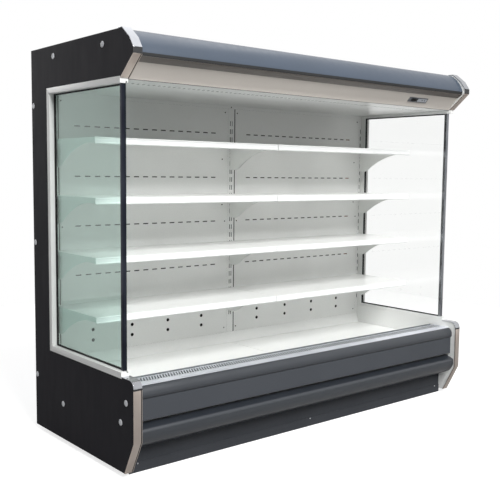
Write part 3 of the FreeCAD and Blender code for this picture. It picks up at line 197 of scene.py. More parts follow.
# the posts are polished too, with painted reflections in their colours: dark on the left one for the case
# beside it, pale on the right one for the bright room
stainlessPaintedDarkReflection = grainedMetal("polishedStainlessSteelPaintedDarkReflection", {
    "colour": "#33363f", "shade": "#1f212a", "smooth": 0.08, "rough": 0.16, "bump": 0.05, "pull": 0.0,
    "grain": 3, "along": (1, 1, 0.05)})
stainlessPaintedPaleReflection = grainedMetal("polishedStainlessSteelPaintedPaleReflection", {
    "colour": "#8d8f93", "shade": "#6c6e73", "smooth": 0.08, "rough": 0.16, "bump": 0.05, "pull": 0.0,
    "grain": 3, "along": (1, 1, 0.05)})
# brushed stainless: lines down the strip, drawn 2 mm wide because the true 0.1 mm ones vanish
brushedStainless = grainedMetal("brushedStainlessSteel", {
    "colour": "#c6bbb3", "shade": "#b9aca3", "smooth": 0.29, "rough": 0.42, "bump": 0.3, "pull": 0.5,
    "grain": 2, "along": (1, 0.04, 0.04)})
# satin anodised aluminium: a cool, even grey with die lines along the length
anodisedAluminium = grainedMetal("anodisedAluminium", {
    "colour": "#e9ebf1", "shade": "#dfe2e9", "smooth": 0.4, "rough": 0.54, "bump": 0.2, "pull": 0.2,
    "grain": 1.5, "along": (0.02, 1, 1)})
finAluminium = grainedMetal("rolledAluminiumFin", {
    "colour": "#c7cace", "shade": "#aeb2b7", "smooth": 0.34, "rough": 0.52, "bump": 0.25, "pull": 0.0,
    "grain": 4, "along": (1, 1, 0.1)})
# zinc plated screws are bright, with a dull bluish patch here and there
zincPlate = grainedMetal("zincPlatedSteel", {
    "colour": "#d9dadb", "shade": "#a9adb4", "smooth": 0.29, "rough": 0.4, "bump": 0.1, "pull": 0.0,
    "grain": 1, "along": (1, 1, 1)})
# blackened screws stay dark with a small glint
blackenedSteel = grainedMetal("blackOxideSteel", {
    "colour": "#34343a", "shade": "#1f1f23", "smooth": 0.35, "rough": 0.5, "bump": 0.1, "pull": 0.0,
    "grain": 1, "along": (1, 1, 1)})
# drawn copper tube: salmon where clean and brown where it has been handled or heated
drawnCopper = grainedMetal("drawnCopper", {
    "colour": "#c98f6f", "shade": "#8a5a44", "smooth": 0.29, "rough": 0.45, "bump": 0.15, "pull": 0.0,
    "grain": 5, "along": (1, 1, 0.2)})


# hot dip galvanised sheet: flat crystals about 12 mm across, each with its own grey and gloss
zincPattern = {"colour": "#bdc2c7", "shade": "#a4a9ae", "shadeAt": 0.0, "colourAt": 1.0, "crystal": 12,
               "warp": 20, "warpShare": 0.006, "smooth": 0.38, "rough": 0.52, "bump": 0.12, "relief": 0.05}


def galvanisedSheet(name):
    material, tree, surface, place = startMaterial(name, {"Metallic": 1.0})
    warp = addNode(tree, "TexNoise", {"Scale": perMm(zincPattern["warp"]), "Detail": 2.0},
                   {"Vector": (place, "Object")})
    bent = addNode(tree, "Mix", {"data_type": "VECTOR", 0: zincPattern["warpShare"]},
                   {4: (place, "Object"), 5: (warp, "Color")})
    crystal = addNode(tree, "TexVoronoi", {"Scale": perMm(zincPattern["crystal"])}, {"Vector": (bent, 1)})
    parts = addNode(tree, "SeparateColor", {}, {"Color": (crystal, "Color")})
    tintSurface(tree, surface, zincPattern, zincPattern, parts, 0)
    sheen = addNode(tree, "MapRange", {3: zincPattern["smooth"], 4: zincPattern["rough"]}, {0: (parts, 1)})
    tree.links.new(sheen.outputs[0], surface.inputs["Roughness"])
    bumpSurface(tree, surface, zincPattern["bump"], zincPattern["relief"], parts, 2)
    return material


galvanised = galvanisedSheet("galvanisedSteelSheet")


# moulded or extruded plastic: an even colour, a fine skin texture and a soft highlight
plasticPattern = {"cloud": 240, "cloudShare": 0.5, "shadeAt": 0.36, "colourAt": 0.64, "smoother": 0.03,
                  "rougher": 0.05, "skinDepth": 0.05}


def mouldedPlastic(name, finish):
    material, tree, surface, place = startMaterial(name, {"IOR": 1.5, "Specular IOR Level": finish["shine"]})
    squeeze = addNode(tree, "Mapping", {"Scale": finish["along"]}, {"Vector": (place, "Object")})
    skin = addNode(tree, "TexNoise", {"Scale": perMm(finish["grain"]), "Detail": 3.0},
                   {"Vector": (squeeze, "Vector")})
    cloud = addNode(tree, "TexNoise", {"Scale": perMm(plasticPattern["cloud"]), "Detail": 4.0},
                    {"Vector": (place, "Object")})
    blend = addNode(tree, "Mix", {"data_type": "FLOAT", 0: plasticPattern["cloudShare"]},
                    {2: (skin, "Fac"), 3: (cloud, "Fac")})
    tintSurface(tree, surface, plasticPattern, finish, blend, 0)
    glossSurface(tree, surface, finish["rough"] - plasticPattern["smoother"],
                 finish["rough"] + plasticPattern["rougher"], cloud, "Fac")
    bumpSurface(tree, surface, finish["bump"], plasticPattern["skinDepth"], skin, "Fac")
    return material


# extruded rigid PVC bumper: slate grey, satin, with faint lines along the run
bumperPvc = mouldedPlastic("extrudedPvcBumper", {
    "colour": "#2b2f35", "shade": "#282c32", "rough": 0.32, "shine": 0.7, "bump": 0.2, "grain": 2,
    "along": (0.02, 1, 1)})
railPvc = mouldedPlastic("extrudedPvcPriceRail", {
    "colour": "#f2f3f2", "shade": "#eceeed", "rough": 0.33, "shine": 0.5, "bump": 0.1, "grain": 2,
    "along": (0.02, 1, 1)})
# moulded ABS: black for joiners and boxes, pale grey for the caps
blackAbs = mouldedPlastic("mouldedAbsBlack", {
    "colour": "#1b1c1e", "shade": "#151618", "rough": 0.36, "shine": 0.5, "bump": 0.3, "grain": 0.8,
    "along": (1, 1, 1)})
greyAbs = mouldedPlastic("mouldedAbsGrey", {
    "colour": "#55585d", "shade": "#4c4f54", "rough": 0.4, "shine": 0.5, "bump": 0.3, "grain": 0.8,
    "along": (1, 1, 1)})
capAbs = mouldedPlastic("mouldedAbsPaleGrey", {
    "colour": "#d9dbdf", "shade": "#cfd1d6", "rough": 0.33, "shine": 0.5, "bump": 0.15, "grain": 0.8,
    "along": (1, 1, 1)})
keyFoil = mouldedPlastic("printedPolyesterFoil", {
    "colour": "#a9adb3", "shade": "#9fa3a9", "rough": 0.34, "shine": 0.4, "bump": 0.2, "grain": 0.6,
    "along": (1, 1, 1)})
# smoked acrylic: black until something is lit behind it, and very smooth
smokedAcrylic = mouldedPlastic("castAcrylicSmoked", {
    "colour": "#0c0d10", "shade": "#08090b", "rough": 0.08, "shine": 0.15, "bump": 0.02, "grain": 5,
    "along": (1, 1, 1)})
# extruded EPDM seal: dull black with a slight bloom
epdmRubber = mouldedPlastic("extrudedEpdmRubber", {
    "colour": "#191a1b", "shade": "#222324", "rough": 0.7, "shine": 0.3, "bump": 0.4, "grain": 1.2,
    "along": (1, 1, 1)})
drainPvc = mouldedPlastic("extrudedPvcDrain", {
    "colour": "#8b8f93", "shade": "#7f8388", "rough": 0.38, "shine": 0.5, "bump": 0.15, "grain": 2,
    "along": (1, 1, 0.1)})
fanNylon = mouldedPlastic("mouldedNylonBlack", {
    "colour": "#222427", "shade": "#1b1d1f", "rough": 0.46, "shine": 0.4, "bump": 0.3, "grain": 1,
    "along": (1, 1, 1)})


# float glass: the iron in it gives the green, and wiping leaves a faint haze in the gloss
glassPattern = {"haze": 180, "hazeFrom": 0.45, "hazeTo": 0.75, "smooth": 0.0, "rough": 0.03}


def floatGlass(name, colour):
    settings = {"Base Color": hexColour(colour), "Transmission Weight": 1.0, "IOR": 1.5}
    material, tree, surface, place = startMaterial(name, settings)
    haze = addNode(tree, "TexNoise", {"Scale": perMm(glassPattern["haze"]), "Detail": 4.0},
                   {"Vector": (place, "Object")})
    limits = {1: glassPattern["hazeFrom"], 2: glassPattern["hazeTo"],
              3: glassPattern["smooth"], 4: glassPattern["rough"]}
    sheen = addNode(tree, "MapRange", limits, {0: (haze, "Fac")})
    tree.links.new(sheen.outputs[0], surface.inputs["Roughness"])
    return material


greenGlass = floatGlass("floatGlassGreen", "#cfe3dd")
# a near clear copy of the green glass, painted light for the bright room seen through the right pane
paintedLightGlass = floatGlass("floatGlassPaintedLight", "#fdfefd")
print("materials ready:", len(bpy.data.materials))

finishOfSlot = {
    "charcoal_steel": powderCharcoal,
    "white_steel": whiteEnamel,
    "beige_steel": beigePaint,
    "brown_steel": brownPaint,
    "grey_profile": bumperPvc,
    "polished_steel": polishedStainless,
    "aluminium_profile": anodisedAluminium,
    "galvanised_steel": galvanised,
    "side_glass": greenGlass,
    "seal_rubber": epdmRubber,
    "black_plastic": blackAbs,
    "cap_plastic": capAbs,
    "dark_screws": blackenedSteel,
    "copper_pipe": drawnCopper,
}
slotOfNode = {}
for nodeName, node in nodes.items():
    slotOfNode[nodeName] = node.data.materials[0].name
    node.data.materials[0] = finishOfSlot[slotOfNode[nodeName]]
nodes["evaporator_coil"].data.materials[0] = finAluminium


# small tools for modelling
def clearSelection():
    if bpy.context.object and bpy.context.object.mode != "OBJECT":
        bpy.ops.object.mode_set(mode="OBJECT")
    bpy.ops.object.select_all(action="DESELECT")


def makeActive(piece):
    clearSelection()
    piece.select_set(True)
    bpy.context.view_layer.objects.active = piece


def pickFaces(piece, test):  # leaves the piece in edit mode with only these faces selected
    makeActive(piece)
    bpy.ops.object.mode_set(mode="EDIT")
    bpy.context.tool_settings.mesh_select_mode = (False, False, True)
    bpy.ops.mesh.select_all(action="DESELECT")
    bpy.ops.object.mode_set(mode="OBJECT")
    for face in piece.data.polygons:
        face.select = test(face)
    bpy.ops.object.mode_set(mode="EDIT")


def startBox(name, low, high):
    clearSelection()
    middle = (Vector(low) + Vector(high)) / 2
    size = Vector(high) - Vector(low)
    bpy.ops.mesh.primitive_cube_add(size=1, location=middle, scale=size)
    bpy.context.object.name = name
    bpy.ops.object.transform_apply(location=True, rotation=True, scale=True)
    return bpy.context.object


def startDisc(name, radius, height, sides):
    clearSelection()
    bpy.ops.mesh.primitive_cylinder_add(vertices=sides, radius=radius, depth=height,
                                        location=(0, 0, height / 2))
    bpy.context.object.name = name
    bpy.ops.object.transform_apply(location=True, rotation=True, scale=True)
    return bpy.context.object


def applyModifier(piece, kind, **settings):
    makeActive(piece)
    modifier = piece.modifiers.new(kind.title(), kind)
    for key, value in settings.items():
        setattr(modifier, key, value)
    bpy.ops.object.modifier_apply(modifier=modifier.name)


def softenEdges(piece, width, segments=2):
    applyModifier(piece, "BEVEL", width=width, segments=segments, limit_method="ANGLE",
                  angle_limit=radians(sharpAngle))
    bpy.ops.object.shade_smooth_by_angle(angle=radians(sharpAngle))


def cutAway(piece, point, normal):  # drops what lies on the normal's side and closes the cut
    pickFaces(piece, lambda face: True)
    bpy.ops.mesh.bisect(plane_co=point, plane_no=normal, use_fill=True, clear_outer=True)
    bpy.ops.object.mode_set(mode="OBJECT")


def cutGroove(piece, axis, at, width, outward, depth, lining=None):  # sunk into the faces that look outward
    for side in (-0.5, 0.5):
        point = Vector()
        point[axis] = at + side * width
        normal = Vector()
        normal[axis] = 1
        pickFaces(piece, lambda face: True)
        bpy.ops.mesh.bisect(plane_co=point, plane_no=normal)
    pickFaces(piece, lambda face: abs(face.center[axis] - at) < width / 2
              and face.normal.dot(outward) > sameHalf)
    bpy.ops.mesh.extrude_region_move(TRANSFORM_OT_translate={"value": -depth * outward})
    if lining:
        piece.data.materials.append(lining)
        piece.active_material_index = len(piece.data.materials) - 1
        bpy.ops.object.material_slot_assign()
    bpy.ops.object.mode_set(mode="OBJECT")


def copyNode(nodeName, pieceName, wanted=None):  # the node's own triangles, merged into flat faces
    clearSelection()
    piece = bpy.data.objects.new(pieceName, nodes[nodeName].data.copy())
    bpy.context.scene.collection.objects.link(piece)
    makeActive(piece)
    if piece.data.has_custom_normals:
        bpy.ops.mesh.customdata_custom_splitnormals_clear()
    if wanted:
        pickFaces(piece, lambda face: not wanted(face))
        bpy.ops.mesh.delete(type="FACE")
    bpy.ops.object.mode_set(mode="EDIT")
    bpy.ops.mesh.select_all(action="SELECT")
    bpy.ops.mesh.remove_doubles(threshold=mergeDistance)
    bpy.ops.mesh.dissolve_limited(angle_limit=radians(flatAngle))
    bpy.ops.object.mode_set(mode="OBJECT")
    bpy.ops.object.shade_smooth_by_angle(angle=radians(sharpAngle))
    return piece


def splitLoose(piece):
    makeActive(piece)
    bpy.ops.mesh.separate(type="LOOSE")
    return list(bpy.context.selected_objects)


def joinPieces(pieces, name):
    clearSelection()
    for piece in pieces:
        piece.select_set(True)
    bpy.context.view_layer.objects.active = pieces[0]
    if len(pieces) > 1:
        bpy.ops.object.join()
    pieces[0].name = name
    return pieces[0]


def placeCopies(model, name, places):  # each copy has its own mesh, and the model itself goes
    copies = []
    for place in places:
        copy = bpy.data.objects.new(name, model.data.copy())
        copy.data.transform(place)
        bpy.context.scene.collection.objects.link(copy)
        copies.append(copy)
    bpy.data.objects.remove(model)
    return joinPieces(copies, name)


def middleOf(piece):
    corners = [vertex.co for vertex in piece.data.vertices]
    return sum(corners, Vector()) / len(corners)


# keepSlots is for a piece whose faces already have their own materials
def finishPiece(piece, material, replaced, body="case", keepSlots=False):
    clearSelection()
    if not keepSlots:
        piece.data.materials.clear()
        piece.data.materials.append(material)
    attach(piece, body)
    for nodeName in replaced:
        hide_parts(nodeName)


def facing(x, y, z):
    return Vector((x, y, z)).normalized()


def turned(x, y, z, axis, degrees):
    return Matrix.Translation((x, y, z)) @ Matrix.Rotation(radians(degrees), 4, axis)


def pointsUp(face):
    return face.normal.z > sameWay


# sheet parts whose shape is right get their folded and sheared edges, rounded by so many millimetres
foldedSheets = {
    "end_panel_left": ("endSheetLeft", powderCharcoal, 0.9),
    "end_panel_right": ("endSheetRight", powderCharcoal, 0.9),
    "canopy_fascia": ("canopyFront", slateEnamel, 0.6),
    "canopy_trim_strip": ("canopyLowerStrip", brownPaint, 0.6),
    "canopy_underside_panel": ("lightPanel", beigePaint, 0.5),
    "back_cove_strip": ("coveStrip", whiteEnamel, 0.5),
    "shelf_brackets": ("shelfBracketPlates", whiteEnamel, 0.4),
    "bumper_face_panel": ("bumperFace", powderFace, 1.0),
    "kick_plate": ("kickPlateSheet", powderKick, 0.8),
    "trim_joiners": ("trimJoinerClips", blackAbs, 0.6),
    "fan_motors": ("fanMotorCans", fanNylon, 0.8),
}
for nodeName, (pieceName, material, edge) in foldedSheets.items():
    piece = copyNode(nodeName, pieceName)
    softenEdges(piece, edge * mm)
    finishPiece(piece, material, [nodeName])

# canopy front: the faces of its lower edge, below hemTop, are black
canopySizes = {"hemTop": 1985}
front = bpy.data.objects["canopyFront"]
front.data.materials.append(epdmRubber)
for face in front.data.polygons:
    if face.center.z < canopySizes["hemTop"] * mm:
        face.material_index = 1

# square posts in front of the side panes
postSizes = {"edge": 0.4}
for post in splitLoose(copyNode("glass_posts", "postTube")):
    onLeft = middleOf(post).x < 0
    post.name = "postTubeLeft" if onLeft else "postTubeRight"
    softenEdges(post, postSizes["edge"] * mm)
    # each post takes the colour of its painted reflection
    finishPiece(post, stainlessPaintedDarkReflection if onLeft else stainlessPaintedPaleReflection, ["glass_posts"])

# interior sheets: enamel on the shown side and dark primer behind it as painted shade, and a black strip
# down the left edge of each back panel as painted shade along that edge
edgeShadeSizes = {"width": 6, "proud": 0.6, "edge": 0.2}
for nodeName, (pieceName, shown) in {
    "back_panel_left": ("backSheetLeft", facing(0, -1, 0)),
    "back_panel_right": ("backSheetRight", facing(0, -1, 0)),
    "slotted_uprights": ("uprightChannels", facing(0, -1, 0)),
    "air_outlet_panel": ("airOutletSheet", facing(0, 0, -1)),
}.items():
    sheet = copyNode(nodeName, pieceName)
    sheet.data.materials.append(primerPaintedShade)
    # faces turned away from the room take the painted shade
    for face in sheet.data.polygons:
        face.material_index = 0 if face.normal.dot(shown) > sameHalf else 1
    finishPiece(sheet, whiteEnamel, [nodeName], keepSlots=True)
    if nodeName.startswith("back_panel"):
        # a thin black strip stands for the painted shade along the panel's left edge
        low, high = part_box(nodeName)
        edgeShadeStrip = startBox(pieceName + "PaintedEdgeShade", (low.x, low.y - edgeShadeSizes["proud"] * mm, low.z),
                        (low.x + edgeShadeSizes["width"] * mm, low.y, high.z))
        softenEdges(edgeShadeStrip, edgeShadeSizes["edge"] * mm)
        finishPiece(edgeShadeStrip, epdmRubber, [nodeName])
print("folded sheets done")

# extrusions: the bumper profiles keep their shape, and the ledge gets its drip grooves
for nodeName, pieceName in {
    "bumper_top_profile": "bumperUpperProfile",
    "bumper_lower_profile": "bumperLowerProfile",
}.items():
    finishPiece(copyNode(nodeName, pieceName), bumperPvc, [nodeName])
ledgeSizes = {"groove": 1.5, "grooveDepth": 0.6, "grooveShares": (0.3, 0.5, 0.7), "edge": 0.3}
ledge = copyNode("bumper_ledge", "ledgeProfile")
ledgeLow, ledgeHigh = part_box("bumper_ledge")
for share in ledgeSizes["grooveShares"]:
    grooveAt = ledgeLow.y + share * (ledgeHigh.y - ledgeLow.y)
    cutGroove(ledge, 1, grooveAt, ledgeSizes["groove"] * mm, facing(0, 0, 1), ledgeSizes["grooveDepth"] * mm)
softenEdges(ledge, ledgeSizes["edge"] * mm)
finishPiece(ledge, anodisedAluminium, ["bumper_ledge"])
print("bumper done")

# window frame: three legs each end, mitred at the rear corners with a hairline between them
windowSizes = {"rearCorner": 338, "topCorner": 1877, "lowCorner": 485, "mitreGap": 0.7, "edge": 0.6}
rearTop = Vector((0, windowSizes["rearCorner"], windowSizes["topCorner"])) * mm
rearLow = Vector((0, windowSizes["rearCorner"], windowSizes["lowCorner"])) * mm
halfGap = windowSizes["mitreGap"] / 2 * mm
upward = facing(0, -1, 1)
downward = facing(0, -1, -1)
for legName, cuts in {
    "windowLegTop": [(rearTop, -upward)],
    "windowLegRear": [(rearTop, upward), (rearLow, downward)],
    "windowLegLow": [(rearLow, -downward)],
}.items():
    leg = copyNode("window_frames", legName)
    for point, normal in cuts:
        cutAway(leg, point - normal * halfGap, normal)
    softenEdges(leg, windowSizes["edge"] * mm)
    finishPiece(leg, whiteEnamel, ["window_frames"])
print("window frames done")

# side panes with ground and polished edges
glassSizes = {"arris": 0.8}
panes = splitLoose(copyNode("side_glass", "sidePane"))
for pane in panes:
    onLeft = middleOf(pane).x < 0
    pane.name = "sidePaneLeft" if onLeft else "sidePaneRight"
    softenEdges(pane, glassSizes["arris"] * mm, segments=1)
    # the right pane takes the painted light copy of the glass
    finishPiece(pane, greenGlass if onLeft else paintedLightGlass, ["side_glass"])

# end trims: polished where they turn a corner, brushed on the long legs, with a groove near the case
trimSizes = {"grooveAt": 1207, "grooveWidth": 5, "grooveDepth": 1.2, "grooveFaces": (0, -1, -0.4),
             "edge": 0.5, "canopyCorner": 1980, "bumperCorner": 420}
for nodeName in ("canopy_end_trims", "bumper_end_trims"):
    for strip in splitLoose(copyNode(nodeName, "endTrim")):
        middle = middleOf(strip)
        side = "Left" if middle.x < 0 else "Right"
        canopy = nodeName == "canopy_end_trims"
        polished = middle.z > trimSizes["canopyCorner" if canopy else "bumperCorner"] * mm
        if not polished:
            grooveAt = trimSizes["grooveAt"] * mm * (-1 if middle.x < 0 else 1)
            strip.data.materials[0] = brushedStainless
            # the groove is lined black so that it shows as a dark line
            cutGroove(strip, 0, grooveAt, trimSizes["grooveWidth"] * mm, facing(*trimSizes["grooveFaces"]),
                      trimSizes["grooveDepth"] * mm, epdmRubber)
        softenEdges(strip, trimSizes["edge"] * mm)
        strip.name = ("canopyTrim" if canopy else "bumperTrim") + ("Corner" if polished else "Leg") + side
        finishPiece(strip, polishedStainless, [nodeName], keepSlots=True)
print("trims done")

# domed caps over the end screws: skirt, shoulder and a shallow dish
capSizes = {"radius": 15.5, "height": 2.5, "sides": 32, "face": 12.2, "round": 0.7,
            "dish": 8, "dishDepth": 0.35, "seat": 1247.5}
cap = startDisc("cap", capSizes["radius"] * mm, capSizes["height"] * mm, capSizes["sides"])
pickFaces(cap, pointsUp)
bpy.ops.transform.resize(value=[capSizes["face"] / capSizes["radius"]] * 3,
                         center_override=(0, 0, capSizes["height"] * mm))
bpy.ops.mesh.bevel(offset=capSizes["round"] * mm, segments=3)
bpy.ops.object.mode_set(mode="OBJECT")
topHeight = capSizes["height"] * mm - mergeDistance
pickFaces(cap, lambda face: pointsUp(face) and face.center.z > topHeight)
bpy.ops.mesh.inset(thickness=(capSizes["face"] - capSizes["dish"]) * mm)
bpy.ops.transform.translate(value=(0, 0, -capSizes["dishDepth"] * mm))
bpy.ops.object.mode_set(mode="OBJECT")
makeActive(cap)
bpy.ops.object.shade_smooth_by_angle(angle=radians(domeAngle))
capSpots = [(265, 2042), (-249, 2042), (510, 1801), (510, 1057), (510, 315), (196, 216), (-450, 370),
            (-400, 266)]  # y and z in mm, the same on both ends
capPlaces = []
for y, z in capSpots:
    for side in (-1, 1):
        capPlaces.append(turned(side * capSizes["seat"] * mm, y * mm, z * mm, "Y", 90 * side))
caps = placeCopies(cap, "endScrewCaps", capPlaces)
finishPiece(caps, capAbs, ["screw_caps"])
print("caps done")

# pan head screws with a cross recess: dark on the back panels, bright on the kick plate and in the
# bumper gap; each row gives its surface, the places along the case and the heights
screwSizes = {"radius": 4, "height": 1.8, "sides": 24, "round": 0.9,
              "recess": 2.3, "recessWidth": 0.9, "recessDepth": 0.9}
backRows = [
    {"face": 352, "along": (0,), "heights": (1861,)},
    {"face": 352, "along": (-1158, -48, 48, 1158), "heights": (464, 1147, 1826.7)},
    {"face": 352, "along": (-70, 1134), "heights": (1252, 1536)},
]
frontRows = [
    {"face": -404, "along": (-1156, 0, 1156), "heights": (45,)},
    {"face": -440, "along": (-1156, -401, 401, 1156), "heights": (270,)},
]


def panHead(name):
    head = startDisc(name, screwSizes["radius"] * mm, screwSizes["height"] * mm, screwSizes["sides"])
    pickFaces(head, pointsUp)
    bpy.ops.mesh.bevel(offset=screwSizes["round"] * mm, segments=3)
    bpy.ops.object.mode_set(mode="OBJECT")
    for turn in (0, 90):
        half = Vector((screwSizes["recess"], screwSizes["recessWidth"] / 2, screwSizes["recessDepth"])) * mm
        cutter = startBox("recess", -half, half)
        cutter.data.transform(turned(0, 0, screwSizes["height"] * mm, "Z", turn))
        applyModifier(head, "BOOLEAN", operation="DIFFERENCE", object=cutter)
        bpy.data.objects.remove(cutter)
    makeActive(head)
    bpy.ops.object.shade_smooth_by_angle(angle=radians(domeAngle))
    return head


def screwPlaces(rows):  # all of them face the front
    places = []
    for row in rows:
        for x in row["along"]:
            for z in row["heights"]:
                places.append(turned(x * mm, row["face"] * mm, z * mm, "X", 90))
    return places


darkScrews = placeCopies(panHead("darkScrew"), "backPanelScrews", screwPlaces(backRows))
finishPiece(darkScrews, blackenedSteel, ["panel_screws"])
brightScrews = placeCopies(panHead("brightScrew"), "frontScrews", screwPlaces(frontRows))
finishPiece(brightScrews, zincPlate, ["panel_screws"])
print("screws done")

# shelves: enamelled board and clipped price rail
shelfSizes = {"levels": 4, "boardEdge": 0.8, "railEdge": 0.5, "railDepth": 10, "seamTouch": 0.02}


def onRail(face):  # the rail's flat back lies against the board's front flange
    reach = face.center.y - railBack
    touch = shelfSizes["seamTouch"] * mm
    return reach < -touch or (abs(reach) <= touch and face.normal.y > sameHalf)


for level in range(1, shelfSizes["levels"] + 1):
    for side in ("left", "right"):
        nodeName = f"shelf_{level}_{side}"
        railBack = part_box(nodeName)[0].y + shelfSizes["railDepth"] * mm
        rail = copyNode(nodeName, f"priceRail_{level}_{side}", onRail)
        softenEdges(rail, shelfSizes["railEdge"] * mm)
        finishPiece(rail, railPvc, [nodeName], nodeName)
        board = copyNode(nodeName, f"shelfBoard_{level}_{side}", lambda face: not onRail(face))
        softenEdges(board, shelfSizes["boardEdge"] * mm)
        finishPiece(board, whiteEnamel, [nodeName], nodeName)

# deck pans: glossier enamel and softer folds
deckSizes = {"edge": 1.0}
for side in ("left", "right"):
    pan = copyNode("deck_pan_" + side, "deckTray_" + side)
    softenEdges(pan, deckSizes["edge"] * mm)
    finishPiece(pan, deckEnamel, ["deck_pan_" + side], "deck_pan_" + side)
print("shelves and deck done")

# return grille: a flat rim with leaning slats, aluminium on top and black on their sides and undersides
# as painted shade in the gaps; the real pitch of 12 mm is drawn as 16 mm so that the slats still show
# from across the room
grilleSizes = {"rim": 9, "pitch": 16, "slat": 7, "slatInset": 0.4, "lean": 26, "endGap": 24, "edge": 0.3}
grilleLow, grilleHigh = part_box("return_grille")
rim = startBox("grilleRim", grilleLow, grilleHigh)
pickFaces(rim, lambda face: abs(face.normal.z) > sameWay)
bpy.ops.mesh.inset(thickness=grilleSizes["rim"] * mm)
bpy.ops.mesh.bridge_edge_loops()
bpy.ops.object.mode_set(mode="OBJECT")
grilleMiddle = (grilleLow + grilleHigh) / 2
slatLength = (grilleHigh.y - grilleLow.y - grilleSizes["rim"] * mm) / cos(radians(grilleSizes["lean"]))
slatTall = grilleHigh.z - grilleLow.z - grilleSizes["slatInset"] * mm
slatHalf = Vector((grilleSizes["slat"] * mm, slatLength, slatTall)) / 2
slat = startBox("grilleSlat", -slatHalf, slatHalf)
slatStart = grilleLow.x + grilleSizes["endGap"] * mm
slat.data.materials.append(anodisedAluminium)
slat.data.materials.append(blackAbs)
# sides and undersides take black plastic, painted shade between the slats
for face in slat.data.polygons:
    face.material_index = 0 if face.normal.z > sameHalf else 1
slat.data.transform(turned(slatStart, grilleMiddle.y, grilleMiddle.z, "Z", -grilleSizes["lean"]))
slatSpan = grilleHigh.x - grilleLow.x - 2 * grilleSizes["endGap"] * mm
slatCount = int(slatSpan / (grilleSizes["pitch"] * mm)) + 1
applyModifier(slat, "ARRAY", count=slatCount, use_relative_offset=False, use_constant_offset=True,
              constant_offset_displace=(grilleSizes["pitch"] * mm, 0, 0))
rim.data.materials.append(anodisedAluminium)
grille = joinPieces([rim, slat], "returnGrilleSlats")
softenEdges(grille, grilleSizes["edge"] * mm, segments=1)
finishPiece(grille, anodisedAluminium, ["return_grille"], "return_grille", keepSlots=True)
print("grille done:", slatCount, "slats")

# controller: bezel on the light panel, smoked window on the left, key foil round the two keys
bezelSizes = {"outward": (0, -0.7402, -0.6724), "edge": 0.8}
displaySizes = {"span": (-64, -9), "rise": 11, "thick": 0.5, "sunk": 0.3, "edge": 0.3}
foilSizes = {"span": (-2, 82), "rise": 11, "thick": 0.25, "sunk": 0.3}
keySizes = {"places": (38, 62), "hole": 4.6, "holeDepth": 4, "holeSides": 32, "edge": 0.4}


def startPlate(name, sizes):  # a thin plate on the bezel, its back sunk in a little
    left, right = sizes["span"]
    return startBox(name, Vector((left, -sizes["rise"], -sizes["sunk"])) * mm,
                    Vector((right, sizes["rise"], sizes["thick"])) * mm)


panelOut = facing(*bezelSizes["outward"])  # the light panel's slope
panelUp = panelOut.cross(Vector((1, 0, 0)))
bezelCorners = [vertex.co for vertex in nodes["controller_body"].data.vertices]
faceHeight = max(corner.dot(panelOut) for corner in bezelCorners)
bezelLow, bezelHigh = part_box("controller_body")
faceCorners = [corner for corner in bezelCorners if corner.dot(panelOut) > faceHeight - mergeDistance]
faceRise = (min(c.dot(panelUp) for c in faceCorners) + max(c.dot(panelUp) for c in faceCorners)) / 2
faceCentre = Vector(((bezelLow.x + bezelHigh.x) / 2, 0, 0)) + panelUp * faceRise + panelOut * faceHeight
onPanel = Matrix((Vector((1, 0, 0)), panelUp, panelOut)).transposed().to_4x4()
onPanel.translation = faceCentre
bezel = copyNode("controller_body", "controllerBezel")
softenEdges(bezel, bezelSizes["edge"] * mm, segments=3)
finishPiece(bezel, greyAbs, ["controller_body"])
window = startPlate("displayWindow", displaySizes)
window.data.transform(onPanel)
softenEdges(window, displaySizes["edge"] * mm)
finishPiece(window, smokedAcrylic, ["controller_body"])
foil = startPlate("keyFoil", foilSizes)
for keyAt in keySizes["places"]:
    hole = startDisc("keyHole", keySizes["hole"] * mm, keySizes["holeDepth"] * mm, keySizes["holeSides"])
    hole.data.transform(Matrix.Translation((keyAt * mm, 0, -keySizes["holeDepth"] / 2 * mm)))
    applyModifier(foil, "BOOLEAN", operation="DIFFERENCE", object=hole)
    bpy.data.objects.remove(hole)
foil.data.transform(onPanel)
finishPiece(foil, keyFoil, ["controller_body"])
for number in (1, 2):
    key = copyNode(f"controller_button_{number}", f"controllerKey_{number}")
    softenEdges(key, keySizes["edge"] * mm)
    finishPiece(key, blackAbs, [f"controller_button_{number}"], f"controller_button_{number}")
print("controller done")

# feet: rubber pad under a zinc plated stem and nut
footSizes = {"padHeight": 12, "edge": 0.8}
for row in ("front", "rear"):
    for spot in ("left", "middle", "right"):
        nodeName = f"foot_{row}_{spot}"
        foot = copyNode(nodeName, f"levellingFoot_{row}_{spot}")
        softenEdges(foot, footSizes["edge"] * mm)
        foot.data.materials.clear()
        foot.data.materials.append(zincPlate)
        foot.data.materials.append(epdmRubber)
        for face in foot.data.polygons:
            face.material_index = 1 if face.center.z < footSizes["padHeight"] * mm + mergeDistance else 0
        finishPiece(foot, zincPlate, [nodeName], nodeName, keepSlots=True)
print("feet done")

# pipes: two drawn copper runs near the right end and a plastic drain
pipeSizes = {"drainWithin": 900}
for run in splitLoose(copyNode("pipework", "pipeRun")):
    isDrain = middleOf(run).x < pipeSizes["drainWithin"] * mm
    run.name = "drainPipe" if isDrain else "copperPipe"
    finishPiece(run, drainPvc if isDrain else drawnCopper, ["pipework"])
print("pipes done")

# fan blades
fanSizes = {"edge": 0.4}
for spot in ("left", "middle", "right"):
    nodeName = "fan_rotor_" + spot
    rotor = copyNode(nodeName, "fanBlades_" + spot)
    softenEdges(rotor, fanSizes["edge"] * mm)
    finishPiece(rotor, fanNylon, [nodeName], nodeName)
print("fan blades done")

